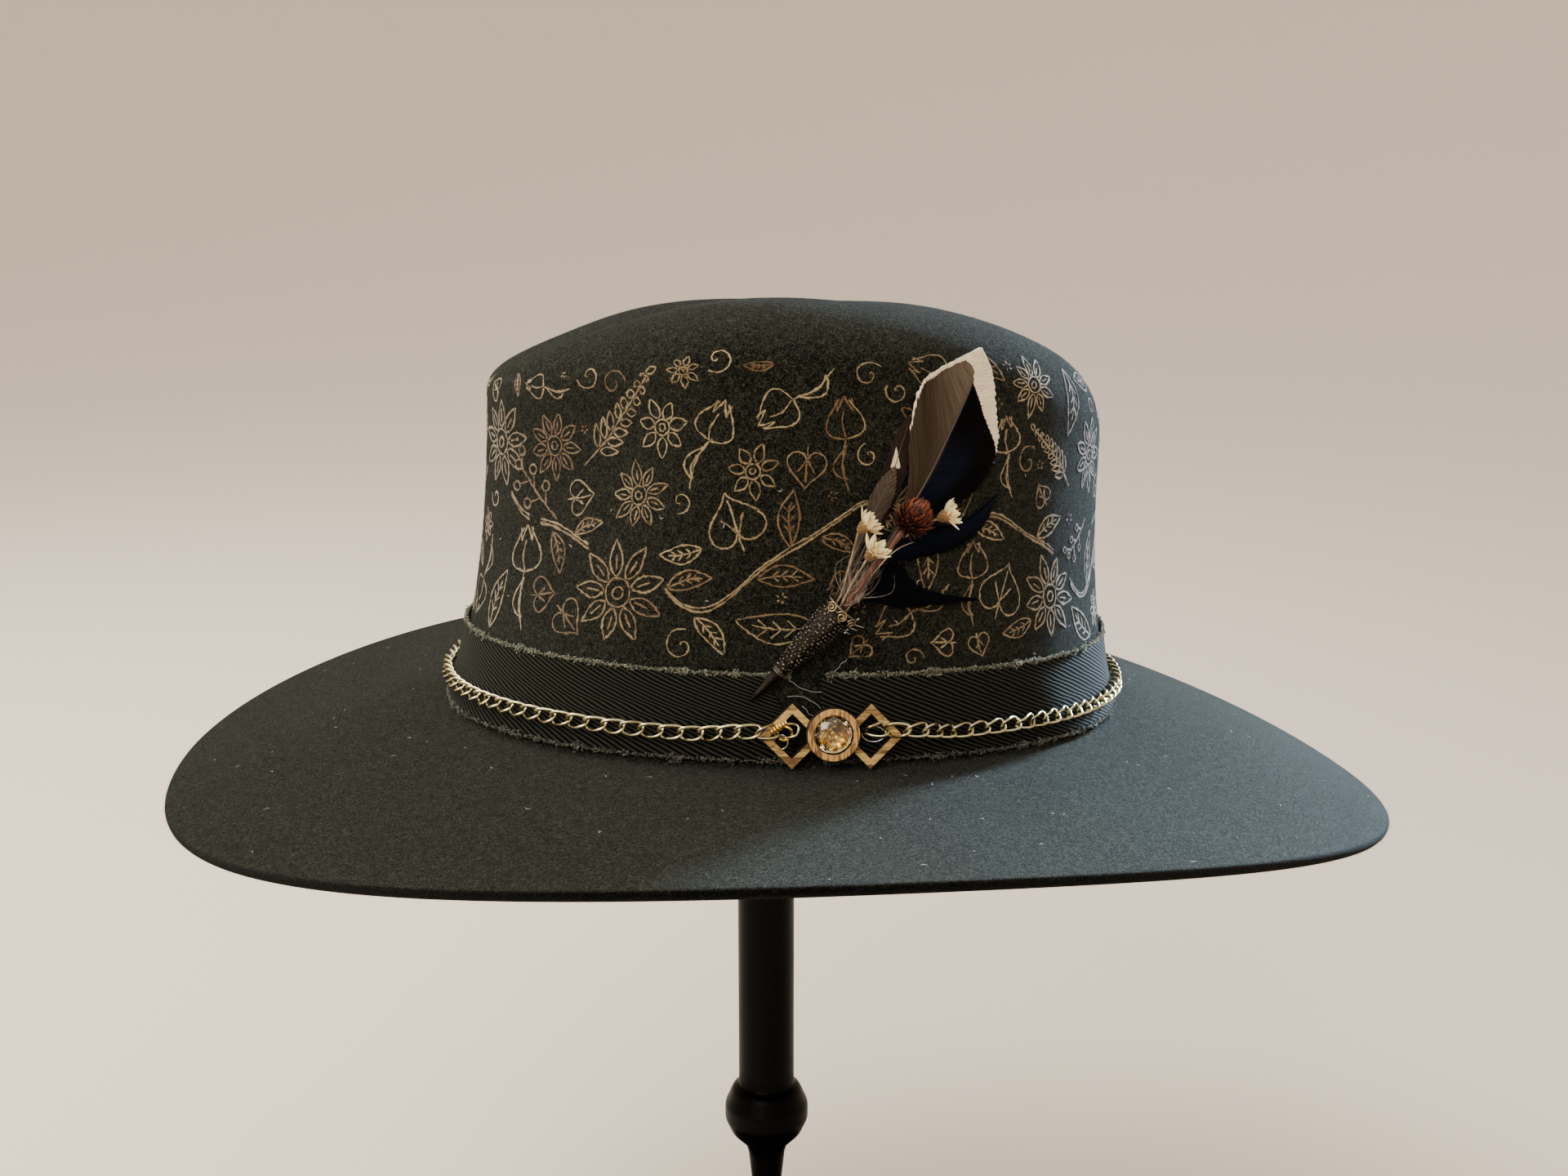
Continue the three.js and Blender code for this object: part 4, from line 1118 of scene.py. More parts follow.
# Yellow wire knot at the chain's left end
# A few turns of brighter gold wire and an open hook tie the chain's last link into the left
# wooden frame, and a thin steel ring hangs in each frame.


def bent_ring(turn, middle, radii, wave):
    """A wire's line about a middle, round by two radii, its depth going by a wave."""
    x, y, z = middle
    return np.stack([x + radii[0] * np.cos(turn), y + radii[1] * np.sin(turn), z + wave(turn)], -1)


t = np.linspace(0, 1, 60)
start, end = np.array([-17.4, 0.9, 6.3]), np.array([-12.9, 3.3, 5.0])
knot_way = unit(end - start)
knot_side = unit(np.cross(knot_way, [0, 0, 1.0]))
knot_out = np.cross(knot_side, knot_way)
swell = (0.55 + 0.25 * np.sin(np.pi * t))[:, None]
wound = (t * 2 * np.pi * 5.5)[:, None]
coil = lerp(start, end, t[:, None]) + swell * (knot_side * np.cos(wound) + knot_out * np.sin(wound))
hook = bent_ring(np.linspace(2.4, -2.4, 60), (-13.2, 0.2, 4.9), (2.0, 1.9), lambda a: 0.5 * np.sin(2 * a))
yellow = metal("yellow_wire", 2.0, (0.95, 0.68, 0.20), (0.72, 0.44, 0.10), 0.22, (0.25, 0.1))
points, groups = join_groups([
    tubes(on_trim(coil)[None], 0.34, sides=8, lean=(0.1, 0.9, 0.3)),
    tubes(on_trim(hook)[None], 0.42, sides=8),
])
add_piece("chain_knot", to_row(points), groups, yellow)
thin_left = bent_ring(full_turn(40), (-14.0, -2.3, 3.9), (1.8, 2.0), lambda a: 0.5 * np.cos(a))
thin_right = bent_ring(full_turn(40), (11.8, -0.6, 3.2), (3.1, 2.2), lambda a: 0.7 * np.cos(a))
steel = metal("thin_steel", 2.0, (0.42, 0.40, 0.36), (0.20, 0.18, 0.16), 0.2)
points, groups = tubes(on_trim(np.stack([thin_left, thin_right])), 0.26, sides=8, ring=True)
add_piece("chain_jump_rings", to_row(points), groups, steel)

# Stone in the ring
# A champagne glass stone, cut as a round brilliant 10 mm wide and foiled behind, that sits on
# the ledge inside the walnut ring.

stone_foot = ring_back + 0.1


def cut_ring(count, turn, radius, height):
    """Corners of one row of facets."""
    angle = 2 * np.pi * (np.arange(count) + turn) / count
    return np.stack([radius * np.cos(angle), radius * np.sin(angle), np.full(count, height)], -1)


def facets(table, crown_mid, girdle, pavilion, foot):
    """Faces of a round brilliant from its rows of corners: table, stars, kites, upper halves,
    girdle, lower halves, mains and the culet."""
    k = np.arange(8)
    top, mid, rim, low_rim, deep = 0, 8, 16, 32, 48
    star = np.stack([top + k, mid + k, top + (k + 1) % 8], -1)
    kite = np.stack([top + k, mid + (k - 1) % 8, rim + 2 * k, mid + k], -1)
    half_a = np.stack([mid + k, rim + 2 * k, rim + 2 * k + 1], -1)
    half_b = np.stack([mid + k, rim + 2 * k + 1, rim + (2 * k + 2) % 16], -1)
    j = np.arange(16)
    belt = np.stack([rim + j, low_rim + j, low_rim + (j + 1) % 16, rim + (j + 1) % 16], -1)
    low_a = np.stack([deep + k, low_rim + 2 * k + 1, low_rim + 2 * k], -1)
    low_b = np.stack([deep + k, low_rim + (2 * k + 2) % 16, low_rim + 2 * k + 1], -1)
    main = np.stack([deep + k, low_rim + 2 * k, deep + (k - 1) % 8, np.full(8, 56)], -1)
    points = np.concatenate([table, crown_mid, girdle, pavilion, foot])
    return points, [star, kite, half_a, half_b, belt, low_a, low_b, main, k[None]]


points, groups = facets(
    cut_ring(8, 0, 2.9, 3.8), cut_ring(8, 0.5, 4.05, 3.2), cut_ring(16, 0, 5.15, 2.2),
    np.concatenate([cut_ring(16, 0, 5.15, 1.95), cut_ring(8, 0.5, 2.5, 0.75)]), np.array([[0, 0, 0.02]]))
champagne = two_toned("champagne_stone", (160.0, 1.0), (0.98, 0.84, 0.50), (1.0, 0.93, 0.66),
                      Roughness=0.02, IOR=1.7, Transmission_Weight=1.0, Specular_IOR_Level=0.7)
gem = add_piece("gem_cut", to_row(on_trim(points + [0, 0, stone_foot])), groups, champagne,
                smooth=False)
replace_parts(gem, "gem")
points, groups = facets(
    cut_ring(8, 0, 1.0, 1.35), cut_ring(8, 0.5, 2.3, 1.3), cut_ring(16, 0, 5.2, 1.9),
    np.concatenate([cut_ring(16, 0, 5.2, 1.8), cut_ring(8, 0.5, 2.4, 0.6)]), np.array([[0, 0, 0.0]]))
foil_dice = np.random.default_rng(8)
points[:8, 2] = 0.35
points[8:16, 2] = foil_dice.uniform(0.7, 1.1, 8)
points[16:32, 2] = foil_dice.uniform(1.0, 1.9, 16)
foil, tree, shader, place = new_material("stone_foil", Metallic=1.0, Roughness=0.2)
# The foil's cells, dark brown to bright gold at random, are painted sparkle: the flashes of the facets
# put into its colour
sparkle_cell = add_node(tree, "TexVoronoi", {"Vector": place, "Scale": 1050.0}, feature="F1")
shade = add_node(tree, "SeparateColor", {0: sparkle_cell.outputs["Color"]}).outputs[0]
warm = colours(tree, between(tree, shade, 0.15, 0.85), (0.36, 0.19, 0.05), (1.0, 0.86, 0.45))
finish_material(tree, shader, Base_Color=warm)
add_piece("gem_foil", to_row(on_trim(points + [0, 0, stone_foot - 0.05])), groups, foil,
          smooth=False)

# Pin cone
# A cast cone of dark antique bronze, 36 mm long: a plain spike, then rows of small grains, a
# plain lip with three coiled brass rosettes, and silvery beads at the side of its mouth.


def on_side(x, z, out):
    """A point in front of the near side: as the wall's own y there, less its distance out."""
    angle, rise = find_on_side(np.asarray(x, float), np.asarray(z, float))
    return np.stack(np.broadcast_arrays(x, wall_point(angle, rise)[..., 1] - out, z), -1)


cone_tip, cone_mouth = on_side(-27.0, 19.0, 2.9), on_side(-2.9, 46.1, 5.5)
cone_axis = unit(cone_mouth - cone_tip)
cone_length = float(np.linalg.norm(cone_mouth - cone_tip))
mouth_radius = 4.75
cone_side = unit(np.array([cone_axis[2], 0, -cone_axis[0]]))
cone_out = np.cross(cone_side, cone_axis)
cone_out = cone_out * -np.sign(cone_out[1])


def on_cone(turn, radius, height):
    """A point at a height up the cone's axis and a radius from it; turn 0 faces out, and grows
    towards the cone's right."""
    way = cone_out * np.cos(turn)[..., None] + cone_side * np.sin(turn)[..., None]
    return cone_tip + cone_axis * np.asarray(height)[..., None] + way * np.asarray(radius)[..., None]


def cone_radius(height):
    """The cone's radius at a height, by its cast profile."""
    shares = [0, 0.02, 0.08, 0.2, 0.31, 0.34, 0.58, 0.8, 0.94, 1.0]
    radii = [0.05, 0.10, 0.17, 0.27, 0.36, 0.42, 0.69, 0.88, 0.95, 1.0]
    return mouth_radius * np.interp(height / cone_length, shares, radii)


height = cone_length * np.concatenate([[0, 0.004], np.linspace(0.015, 1, 60)])
radius = cone_radius(height) - 0.12 * ease(height, 12.0, 14.0)
radius[:2] = [0.05, 0.2]
inside_height = cone_length - np.array([0.0, 0.5, 2.5, 4.5, 4.5])
inside_radius = np.array([4.1, 3.95, 3.8, 3.6, 0.05])
rows_height = np.concatenate([height, inside_height])[:, None]
rows_radius = np.concatenate([radius, inside_radius])[:, None]
wall = on_cone(*np.broadcast_arrays(full_turn(40), rows_radius, rows_height))
shaft = (wall.reshape(-1, 3), capped(len(rows_height), 40))

grain_rows = np.arange(12.2, cone_length - 2.2, 1.06)
counts = np.maximum((2 * np.pi * cone_radius(grain_rows) / 1.02).astype(int), 6)
grain_height = np.repeat(grain_rows, counts)
grain_turn = np.concatenate([
    2 * np.pi * (np.arange(n) + 0.5 * (k % 2)) / n for k, n in enumerate(counts)])
grain_dice = np.random.default_rng(4)
grain_height = grain_height + grain_dice.normal(0, 0.13, len(grain_height))
grain_turn = grain_turn + grain_dice.normal(0, 0.06, len(grain_turn))


def grains(turn, height, radius, sink, size):
    """Small domes on the cone: rings of a half ball round the cone's own outward direction,
    closed by a cap, a little taller than wide."""
    middle = on_cone(turn, radius - sink, height)
    way = on_cone(turn, np.ones_like(turn), 0 * turn) - cone_tip
    across = np.cross(way, cone_axis)
    lift = np.radians([-10, 25, 60])[:, None]
    spin = np.linspace(0, 2 * np.pi, 7)[None, :-1]
    size = np.broadcast_to(np.asarray(size, float), turn.shape)[:, None, None, None]
    dome = (across[:, None, None] * (np.cos(lift) * np.cos(spin))[..., None]
            + cone_axis * (np.cos(lift) * np.sin(spin))[..., None] * 0.92
            + way[:, None, None] * (np.sin(lift) + 0 * spin)[..., None] * 1.15)
    points = (middle[:, None, None] + dome * size).reshape(-1, 3)
    return points, [repeated(faces, len(turn), 18) for faces in capped(3, 6)]


grain_size = 0.47 * grain_dice.uniform(0.65, 1.2, len(grain_turn))
studs = grains(grain_turn, grain_height, cone_radius(grain_height), 0.16, grain_size)
# Each raised ring's height, radius and thickness
lip_rows = [(cone_length - 0.2, 4.62, 0.42), (cone_length - 1.5, 4.58, 0.22),
            (11.3, 1.78, 0.26), (11.9, 1.98, 0.2)]
lips = []
for height, radius, thick in lip_rows:
    ring_line = on_cone(full_turn(64), np.full(64, radius), np.full(64, height))
    lips.append(tubes(ring_line[None], thick, sides=8, ring=True, lean=cone_axis))
bronze, tree, shader, place = new_material("antique_bronze", Metallic=0.95, Roughness=0.4)
wear = use_effect(tree, metal_wear, Place=place, Size=3.0)
old = colours(tree, wear["Tarnish"], (0.027, 0.023, 0.017), (0.009, 0.008, 0.006))
# Grain tops and lips are made brighter: partly rubbed wear on the bronze, partly painted highlights
# standing in for the grains' glints
worn = calc(tree, "MAXIMUM", between(tree, wear["Scuff"], 0.60, 0.80), stored(tree, "high"))
rubbed_and_glinting = colours(tree, worn, old, (0.25, 0.22, 0.17))
rough = calc(tree, "MULTIPLY_ADD", wear["Scuff"], 0.35, 0.20)
scuffs = relief(tree, wear["Scuff"], 0.3, 0.0003)
finish_material(tree, shader, Base_Color=rubbed_and_glinting, Roughness=rough, Normal=scuffs)
points, groups = join_groups([shaft, studs, *lips])
# Each grain's brightened top ring: rubbed wear and painted highlight
rubbed_and_glint_tops = np.outer(grain_dice.uniform(0, 1, len(grain_turn)), np.repeat([0, 0.1, 1.0], 6)).ravel()
lip_points = len(points) - len(shaft[0]) - len(rubbed_and_glint_tops)
tops = np.concatenate([np.zeros(len(shaft[0])), rubbed_and_glint_tops, np.full(lip_points, 0.6)])
cone = add_piece("pin_cone_cast", to_row(points), groups, bronze, values={"high": tops})
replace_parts(cone, "pin_cone")

# Rosettes and beads of the pin
# Three spirals of flat brass wire soldered to the front of the lip, and a string of silvery
# beads with three cut wire ends at the lip's right.

spiral = np.linspace(0, 1.8 * 2 * np.pi, 46)
spiral_radius = np.interp(spiral, [0, spiral[-1]], [1.55, 0.30])
rosettes = []
for place_at in (-1, 0, 1):
    angle = np.array(place_at * 0.74)
    middle = on_cone(angle, np.array(5.05 + 0.12 * place_at), np.array(cone_length - 1.5))
    way = on_cone(angle, np.array(1.0), np.array(0.0)) - cone_tip
    across = np.cross(way, cone_axis)
    dome = 0.5 * (1 - (spiral_radius / 1.55) ** 2)
    line = (middle + across * (spiral_radius * np.cos(spiral))[:, None]
            + cone_axis * (spiral_radius * np.sin(spiral))[:, None] + way * dome[:, None])
    rosettes.append(tubes(line[None], 0.23, sides=7, lean=way))
brass = metal("old_brass", 4.0, (0.46, 0.36, 0.18), (0.14, 0.100, 0.050), 0.3, (0.3, 0.15))
points, groups = join_groups(rosettes)
add_piece("pin_rosettes", to_row(points), groups, brass)
bead_turn = np.array([1.25, 1.42, 1.2, 1.5, 1.34, 1.62, 1.45, 1.7, 1.15, 1.58, 1.3])
bead_height = cone_length + np.array([0.6, 0.1, -0.7, -0.9, -1.7, -1.8, -2.7, -3.0, -3.4, -4.2, -4.6])
beads = grains(bead_turn, bead_height, np.full(11, 5.0), -0.1, 0.5 + 0.08 * np.sin(np.arange(11) * 2.1))
wire_height = cone_length + np.array([-1.5, -3.0, -4.5])
wire_from = on_cone(np.array([1.3, 1.5, 1.65]), np.array([5.0, 5.1, 5.0]), wire_height)
wire_to = wire_from + np.array([[3.2, 1.4], [2.6, 1.0], [2.2, 0.2]]) @ np.stack([cone_side, cone_axis])
wire_share = np.linspace(0, 1, 5)[None, :, None]
wires = tubes(lerp(wire_from[:, None], wire_to[:, None], wire_share), 0.16, sides=6)
silver = metal("old_silver", 4.0, (0.55, 0.50, 0.44), (0.17, 0.14, 0.12), 0.3)
points, groups = join_groups([beads, wires])
add_piece("pin_beads", to_row(points), groups, silver)

# Feathers of the pin
# Five natural feathers whose quills stand in the cone: a broad one, brown on its left and
# blue-black with a cream margin on its right, two small brown ones behind it, and two dark ones.

feather_dice = np.random.default_rng(17)


def slot_point(across, out):
    """Where a quill or stem ends inside the cone's mouth, across it and out from its axis."""
    outward = unit(np.cross(cone_side, cone_axis))
    outward = outward * -np.sign(outward[1])
    return cone_mouth - cone_axis * 2.5 + cone_side * across + outward * out


def smoothed(rows, steps):
    """A table's columns at even steps along its quill, eased by a running mean."""
    rows = np.array(rows, float)
    far = distances(np.hypot(np.diff(rows[:, 0]), np.diff(rows[:, 1])))
    fine = np.stack([np.interp(np.linspace(0, far[-1], steps), far, column) for column in rows.T])
    pad = max(steps // 14, 1)
    before, after = 2 * fine[:, :1] - fine[:, pad:0:-1], 2 * fine[:, -1:] - fine[:, -2:-pad - 2:-1]
    padded = np.concatenate([before, fine, after], 1)
    kernel = np.ones(2 * pad + 1) / (2 * pad + 1)
    return np.stack([np.convolve(row, kernel, "valid") for row in padded]), far[-1]


def vanes(rows, slants, thick, cup, steps=220, columns=(13, 17), fringe=0.03):
    """A feather's two vanes as one thin shell. Its barbs leave the quill and run outwards and
    forwards: a barb from share t of the quill reaches, at share j across, the outline of
    t + (1-t) slant j. Each column follows the side's outline, and the shell cups to the felt."""
    (x, z, out, left, right), length = smoothed(rows, 400)
    share = np.linspace(0, 1, steps)[:, None]
    j = np.concatenate([np.linspace(-1, 0, columns[0] + 1), np.linspace(0, 1, columns[1] + 1)[1:]])
    j = j[None, :]
    slant = np.where(j < 0, slants[0], slants[1]) * ease(share, 0.0, 0.3)
    reached = share + (1 - share) * slant * np.abs(j)
    line = np.linspace(0, 1, 400)

    def along(column, at=reached):
        return np.interp(at, line, column)

    way_x, way_z = np.gradient(x), np.gradient(z)
    size = np.hypot(way_x, way_z)
    way_x, way_z = way_x / size, way_z / size
    tooth = feather_dice.normal(size=(steps, 1))
    tooth = np.convolve(tooth[:, 0], [0.25, 0.5, 0.25], "same")[:, None] * fringe * np.abs(j) ** 4
    width = np.where(j < 0, along(left), along(right)) * j * (1 + tooth)
    at_x = along(x) + along(way_z) * width
    at_z = along(z) - along(way_x) * width
    lift = along(out) - cup * j ** 2 + 0.10 * np.sin(share * 90) * np.abs(j)
    front = on_side(at_x, at_z, lift + thick / 2)
    back = on_side(at_x, at_z, lift - thick / 2)
    points = np.concatenate([front.reshape(-1, 3), back.reshape(-1, 3)])
    uv = np.stack(np.broadcast_arrays(share * length / 10, j), -1).reshape(-1, 2)
    edge = np.where(j < 0, along(left), along(right)) * (1 - np.abs(j))
    spots = {"x": at_x.ravel(), "z": at_z.ravel(), "edge": edge.ravel(), "share": reached.ravel(),
             "side": np.broadcast_to(j, reached.shape).ravel(), "off": np.abs(width).ravel()}
    return points, shell_faces(steps, j.shape[1]), np.concatenate([uv, uv]), spots


def quill(rows, slot, radius, reach=1.0):
    """A feather's shaft from the cone's mouth along its rows to a share of its length, raised
    on the vanes' front and thinning to nothing."""
    (x, z, out, _, _), _ = smoothed(rows, 60)
    last = max(int(60 * reach), 4)
    line = on_side(x[:last], z[:last], out[:last] + 0.12)
    line = np.concatenate([slot_point(*slot)[None], line])
    taper = np.concatenate([[radius], radius * (1 - 0.85 * np.linspace(0, 1, last) ** 0.8)])
    return tubes(line[None], taper[None], sides=7)


feather_barbs, given, out = new_effect(
    "feather_barbs", {"Flat": "Vector", "Count": "Float"}, ["Shade", "Height"])
tree = feather_barbs
streaks = noise(tree, stretched(tree, given["Flat"], (26.0, 1.1, 1.0)), 1.0, 4.0, 0.65)
fine = noise(tree, stretched(tree, given["Flat"], (90.0, 1.6, 1.0)), 1.0, 2.0, 0.5)
shade = calc(tree, "MULTIPLY_ADD", streaks, 0.6, calc(tree, "MULTIPLY", fine, 0.4))
tree.links.new(shade, out["Shade"])
parts = add_node(tree, "SeparateXYZ", {0: given["Flat"]}).outputs
ridges = calc(tree, "SINE", calc(tree, "MULTIPLY", parts["X"], given["Count"]))
tree.links.new(calc(tree, "MULTIPLY_ADD", ridges, 0.35, fine), out["Height"])


def feather_material(name, dark, light, sheen, tip=None, pale=(1.0, 0.89, 0.66)):
    """Barb streaks from dark to light, paler towards the tip where one is given, and cream where
    the feather's own paleness says so."""
    material, tree, shader, place = new_material(
        name, Roughness=0.6, Sheen_Weight=0.01, Sheen_Tint=sheen, Specular_IOR_Level=0.03)
    flat = flat_place(tree)
    barbs = use_effect(tree, feather_barbs, Flat=flat, Count=170.0)
    night = stored(tree, "night")
    shade = between(tree, barbs["Shade"], 0.34, 0.66)
    vane = colours(tree, shade, dark, light)
    if tip:
        up_quill = add_node(tree, "SeparateXYZ", {0: flat}).outputs["X"]
        far_vane = colours(tree, shade, light, tip)
        vane = colours(tree, between(tree, up_quill, 3.2, 7.2), vane, far_vane)
    blue = colours(tree, shade, (0.0006, 0.0008, 0.0020), (0.0045, 0.0075, 0.0190))
    vane = colours(tree, night, vane, blue)
    vane = colours(tree, calc(tree, "SUBTRACT", night, 1.0), vane, (0.0004, 0.0004, 0.0006))
    split = calc(tree, "SUBTRACT", barbs["Shade"], 0.5)
    ragged = calc(tree, "MULTIPLY_ADD", split, 1.6, stored(tree, "cream"))
    creamy = colours(tree, shade, (0.60 * pale[0], 0.55 * pale[1], 0.50 * pale[2]), pale)
    vane = colours(tree, between(tree, ragged, 0.40, 0.60), vane, creamy)
    finish_material(tree, shader, Base_Color=vane, Normal=relief(tree, barbs["Height"], 0.5, 0.00025))
    return material


def nowhere(spots):
    """0 at every point of a feather."""
    return 0 * spots["x"]


def add_feather(name, node, rows, slants, thick, cup, material, cream, night, fringe=0.03):
    """A feather's shell with its paleness and its darkness worked out point by point."""
    points, faces, uv, spots = vanes(rows, slants, thick, cup, fringe=fringe)
    values = {"cream": np.tile(cream(spots), 2), "night": np.tile(night(spots), 2)}
    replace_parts(add_piece(name, to_row(points), [faces], material, uv=uv, values=values), node)


# Each feather's quill by x, height and distance out, then its width to the left and right of it
main_rows = [
    [1.5, 51.5, 2.9, 0.45, 0.45], [7.0, 58.5, 3.0, 0.5, 0.5], [12.5, 67.0, 3.2, 0.9, 0.9],
    [15.5, 71.5, 3.2, 1.6, 4.5], [18.0, 76.3, 3.5, 3.1, 9.5], [21.1, 81.5, 3.7, 6.8, 14.8],
    [24.5, 89.0, 4.0, 11.2, 17.5], [26.8, 93.8, 4.2, 12.8, 17.0], [28.8, 98.3, 4.4, 14.3, 14.4],
    [30.8, 102.6, 4.7, 14.2, 11.0], [32.2, 106.0, 5.0, 12.2, 7.8], [33.2, 110.0, 5.4, 9.5, 5.6],
    [33.8, 113.5, 5.8, 6.2, 3.8], [34.0, 115.4, 6.1, 3.2, 2.2], [34.0, 116.4, 6.2, 0.4, 0.3],
]


def main_cream(spots):
    """Right of the quill, cream beyond the line of the dark patch; left of it, a narrow edge
    that widens over the rounded tip."""
    heights = [81.5, 85.8, 89.7, 93.2, 97.4, 102.5, 106.2, 120]
    inner = np.interp(spots["z"], heights, [43.6, 41.8, 40.8, 39.0, 36.6, 34.6, 32.6, 30.0])
    right = ease(spots["x"] - inner, -0.5, 0.7)
    margin = np.interp(spots["share"], [0.60, 0.72, 0.84, 0.93, 1.0], [0.0, 0.7, 1.1, 1.8, 4.5])
    left = ease(margin - spots["edge"], -0.4, 0.5) * (spots["share"] > 0.6)
    round_tip = np.interp(spots["z"], [107.6, 110.0, 111.8, 113.0, 114.0], [0.0, 0.6, 2.0, 4.0, 9.0])
    left = np.maximum(left, ease(round_tip - spots["off"], -0.1, 0.3))
    return np.where(spots["side"] > 0, right, left)


def main_night(spots):
    """Blue-black beside the quill low on the right vane, and black further out and higher up."""
    blue = (1 - ease(spots["share"], 0.55, 0.72)) * (1 - ease(spots["side"], 0.40, 0.72))
    return ease(spots["side"], -0.01, 0.03) * (2 - blue)


brown_vane = feather_material("brown_vane", (0.016, 0.011, 0.0068), (0.060, 0.043, 0.028),
                              (0.9, 0.8, 0.7), tip=(0.175, 0.137, 0.100))
add_feather("feather_broad", "feather_main", main_rows, (0.70, 0.24), 0.34, 0.5, brown_vane,
            main_cream, main_night)
long_rows = [
    [0.0, 54.0, 2.0, 0.4, 0.4], [4.0, 62.0, 1.2, 0.6, 0.8], [7.5, 71.0, 1.0, 2.2, 3.0],
    [10.5, 80.0, 1.0, 3.0, 4.0], [13.0, 89.0, 1.0, 2.8, 4.0], [14.5, 94.0, 1.0, 2.2, 2.5],
    [15.2, 97.5, 1.0, 0.4, 0.4],
]
dark_brown = feather_material("dark_brown_vane", (0.010, 0.007, 0.006), (0.040, 0.027, 0.020),
                              (0.8, 0.75, 0.7))


def sliver(spots):
    """A small white wedge low on the left of the feather."""
    inside = (spots["z"] - 83.0) / 6.5
    width = 1.6 * np.clip(1 - inside, 0, 1)
    return ease(width - np.abs(spots["x"] - 11.7), -0.2, 0.3) * ease(inside, 0.0, 0.1)


add_feather("feather_behind_long", "feather_brown_long", long_rows, (0.5, 0.5), 0.3, 0.2, dark_brown,
            sliver, nowhere, fringe=0.12)
short_rows = [
    [-1.5, 55.0, 3.4, 0.4, 0.4], [1.5, 62.0, 2.4, 0.8, 0.8], [4.8, 69.0, 2.1, 2.0, 2.6],
    [7.6, 75.0, 2.1, 3.0, 3.4], [9.8, 80.0, 2.1, 2.4, 2.6], [11.4, 83.8, 2.1, 0.4, 0.4],
]
grey_brown = feather_material("grey_brown_vane", (0.022, 0.016, 0.012), (0.125, 0.096, 0.070),
                              (0.9, 0.85, 0.8))
add_feather("feather_behind_short", "feather_brown_short", short_rows, (0.5, 0.5), 0.3, 0.3, grey_brown,
            nowhere, nowhere, fringe=0.10)
navy_rows = [
    [3.0, 51.8, 3.2, 0.45, 0.45], [8.5, 57.4, 2.0, 0.5, 0.9], [12.0, 60.8, 1.7, 1.5, 3.6],
    [16.0, 62.6, 1.6, 2.5, 5.2], [21.0, 63.6, 1.6, 3.0, 5.2], [28.0, 64.6, 1.6, 2.2, 4.8],
    [35.0, 67.4, 1.6, 1.2, 4.2], [40.0, 71.2, 1.7, 0.8, 2.6], [43.6, 75.0, 1.8, 0.3, 0.3],
]
black_rows = [
    [2.6, 47.4, 2.6, 0.45, 0.45], [5.0, 47.8, 2.0, 3.0, 1.0], [8.0, 48.2, 1.5, 7.4, 2.0],
    [11.0, 48.2, 1.3, 9.0, 3.0], [14.0, 48.0, 1.3, 7.6, 3.3], [17.0, 47.6, 1.3, 4.6, 3.0],
    [20.5, 47.0, 1.3, 2.6, 2.4], [28.0, 46.2, 1.4, 1.2, 1.2], [34.0, 45.8, 1.6, 0.7, 0.7],
    [38.2, 45.5, 1.8, 0.3, 0.3],
]
night_vane = feather_material("night_vane", (0.004, 0.004, 0.006), (0.010, 0.011, 0.016), (0.4, 0.5, 0.9))
add_feather("feather_navy_sabre", "feather_navy", navy_rows, (0.45, 0.45), 0.32, 0.35, night_vane,
            nowhere, lambda spots: 1 + spots["side"] ** 2, fringe=0.07)
add_feather("feather_black_low", "feather_black", black_rows, (0.5, 0.5), 0.32, 0.25, night_vane,
            nowhere, lambda spots: 1.8 + nowhere(spots), fringe=0.12)

# Quills and down
# The feathers' horny shafts, dark on the broad one and pale on the navy one, and wisps of
# grey-brown down that stand out of the cone's mouth at its left.

dark_quills = join_groups([
    quill(main_rows, (0.2, -2.1), 0.5, 0.88), quill(long_rows, (-1.1, -1.9), 0.4),
    quill(short_rows, (-2.1, -0.7), 0.38),
])
horn = two_toned("dark_horn", ((900.0, 900.0, 90.0), 3.0), (0.022, 0.014, 0.010), (0.085, 0.056, 0.036),
                 bump=(0.2, 0.0002), Roughness=0.4, Specular_IOR_Level=0.5)
add_piece("quills_dark", to_row(dark_quills[0]), dark_quills[1], horn)
pale_quill = quill(navy_rows, (2.1, -0.6), 0.42, 0.40)
pale_horn = two_toned("pale_horn", ((700.0, 700.0, 90.0), 3.0), (0.40, 0.31, 0.20), (0.74, 0.66, 0.52),
                      bump=(0.2, 0.0002), Roughness=0.35, Specular_IOR_Level=0.5)
add_piece("quill_pale", to_row(pale_quill[0]), pale_quill[1], pale_horn)
wisps = (110, 1)
t = np.linspace(0, 1, 9)[None, :]
foot_x, foot_z = feather_dice.uniform(-3.5, 1.5, wisps), feather_dice.uniform(46.5, 51.0, wisps)
reach = feather_dice.uniform(4, 13, wisps)
lean = np.radians(feather_dice.normal(66, 17, wisps))
bow = feather_dice.normal(0, 0.16, wisps)
wisp_x = foot_x + reach * (np.cos(lean) * t + bow * np.sin(np.pi * t)) + 0.1 * np.sin(17 * t + lean * 9)
wisp_z = foot_z + reach * (np.sin(lean) * t - bow * 0.5 * np.sin(np.pi * t))
wisp_out = feather_dice.uniform(3.2, 7.5, wisps) + feather_dice.normal(0, 0.8, wisps) * t
paths = on_side(wisp_x, wisp_z, wisp_out)
down = two_toned("down_wisps", (500.0, 2.0), (0.05, 0.036, 0.024), (0.28, 0.21, 0.14),
                 edges=(0.35, 0.65), Roughness=0.7, Sheen_Weight=0.4, Specular_IOR_Level=0.3)
points, groups = tubes(paths, 0.1 * (1.15 - t), sides=4)
add_piece("feather_down", to_row(points), groups, down)

# Dried globe flower
# A brown-red everlasting head of stiff overlapping scales on a thick reddish stem. It was
# dried whole, and its stem stands in the cone among the feathers.

flower_dice = np.random.default_rng(31)


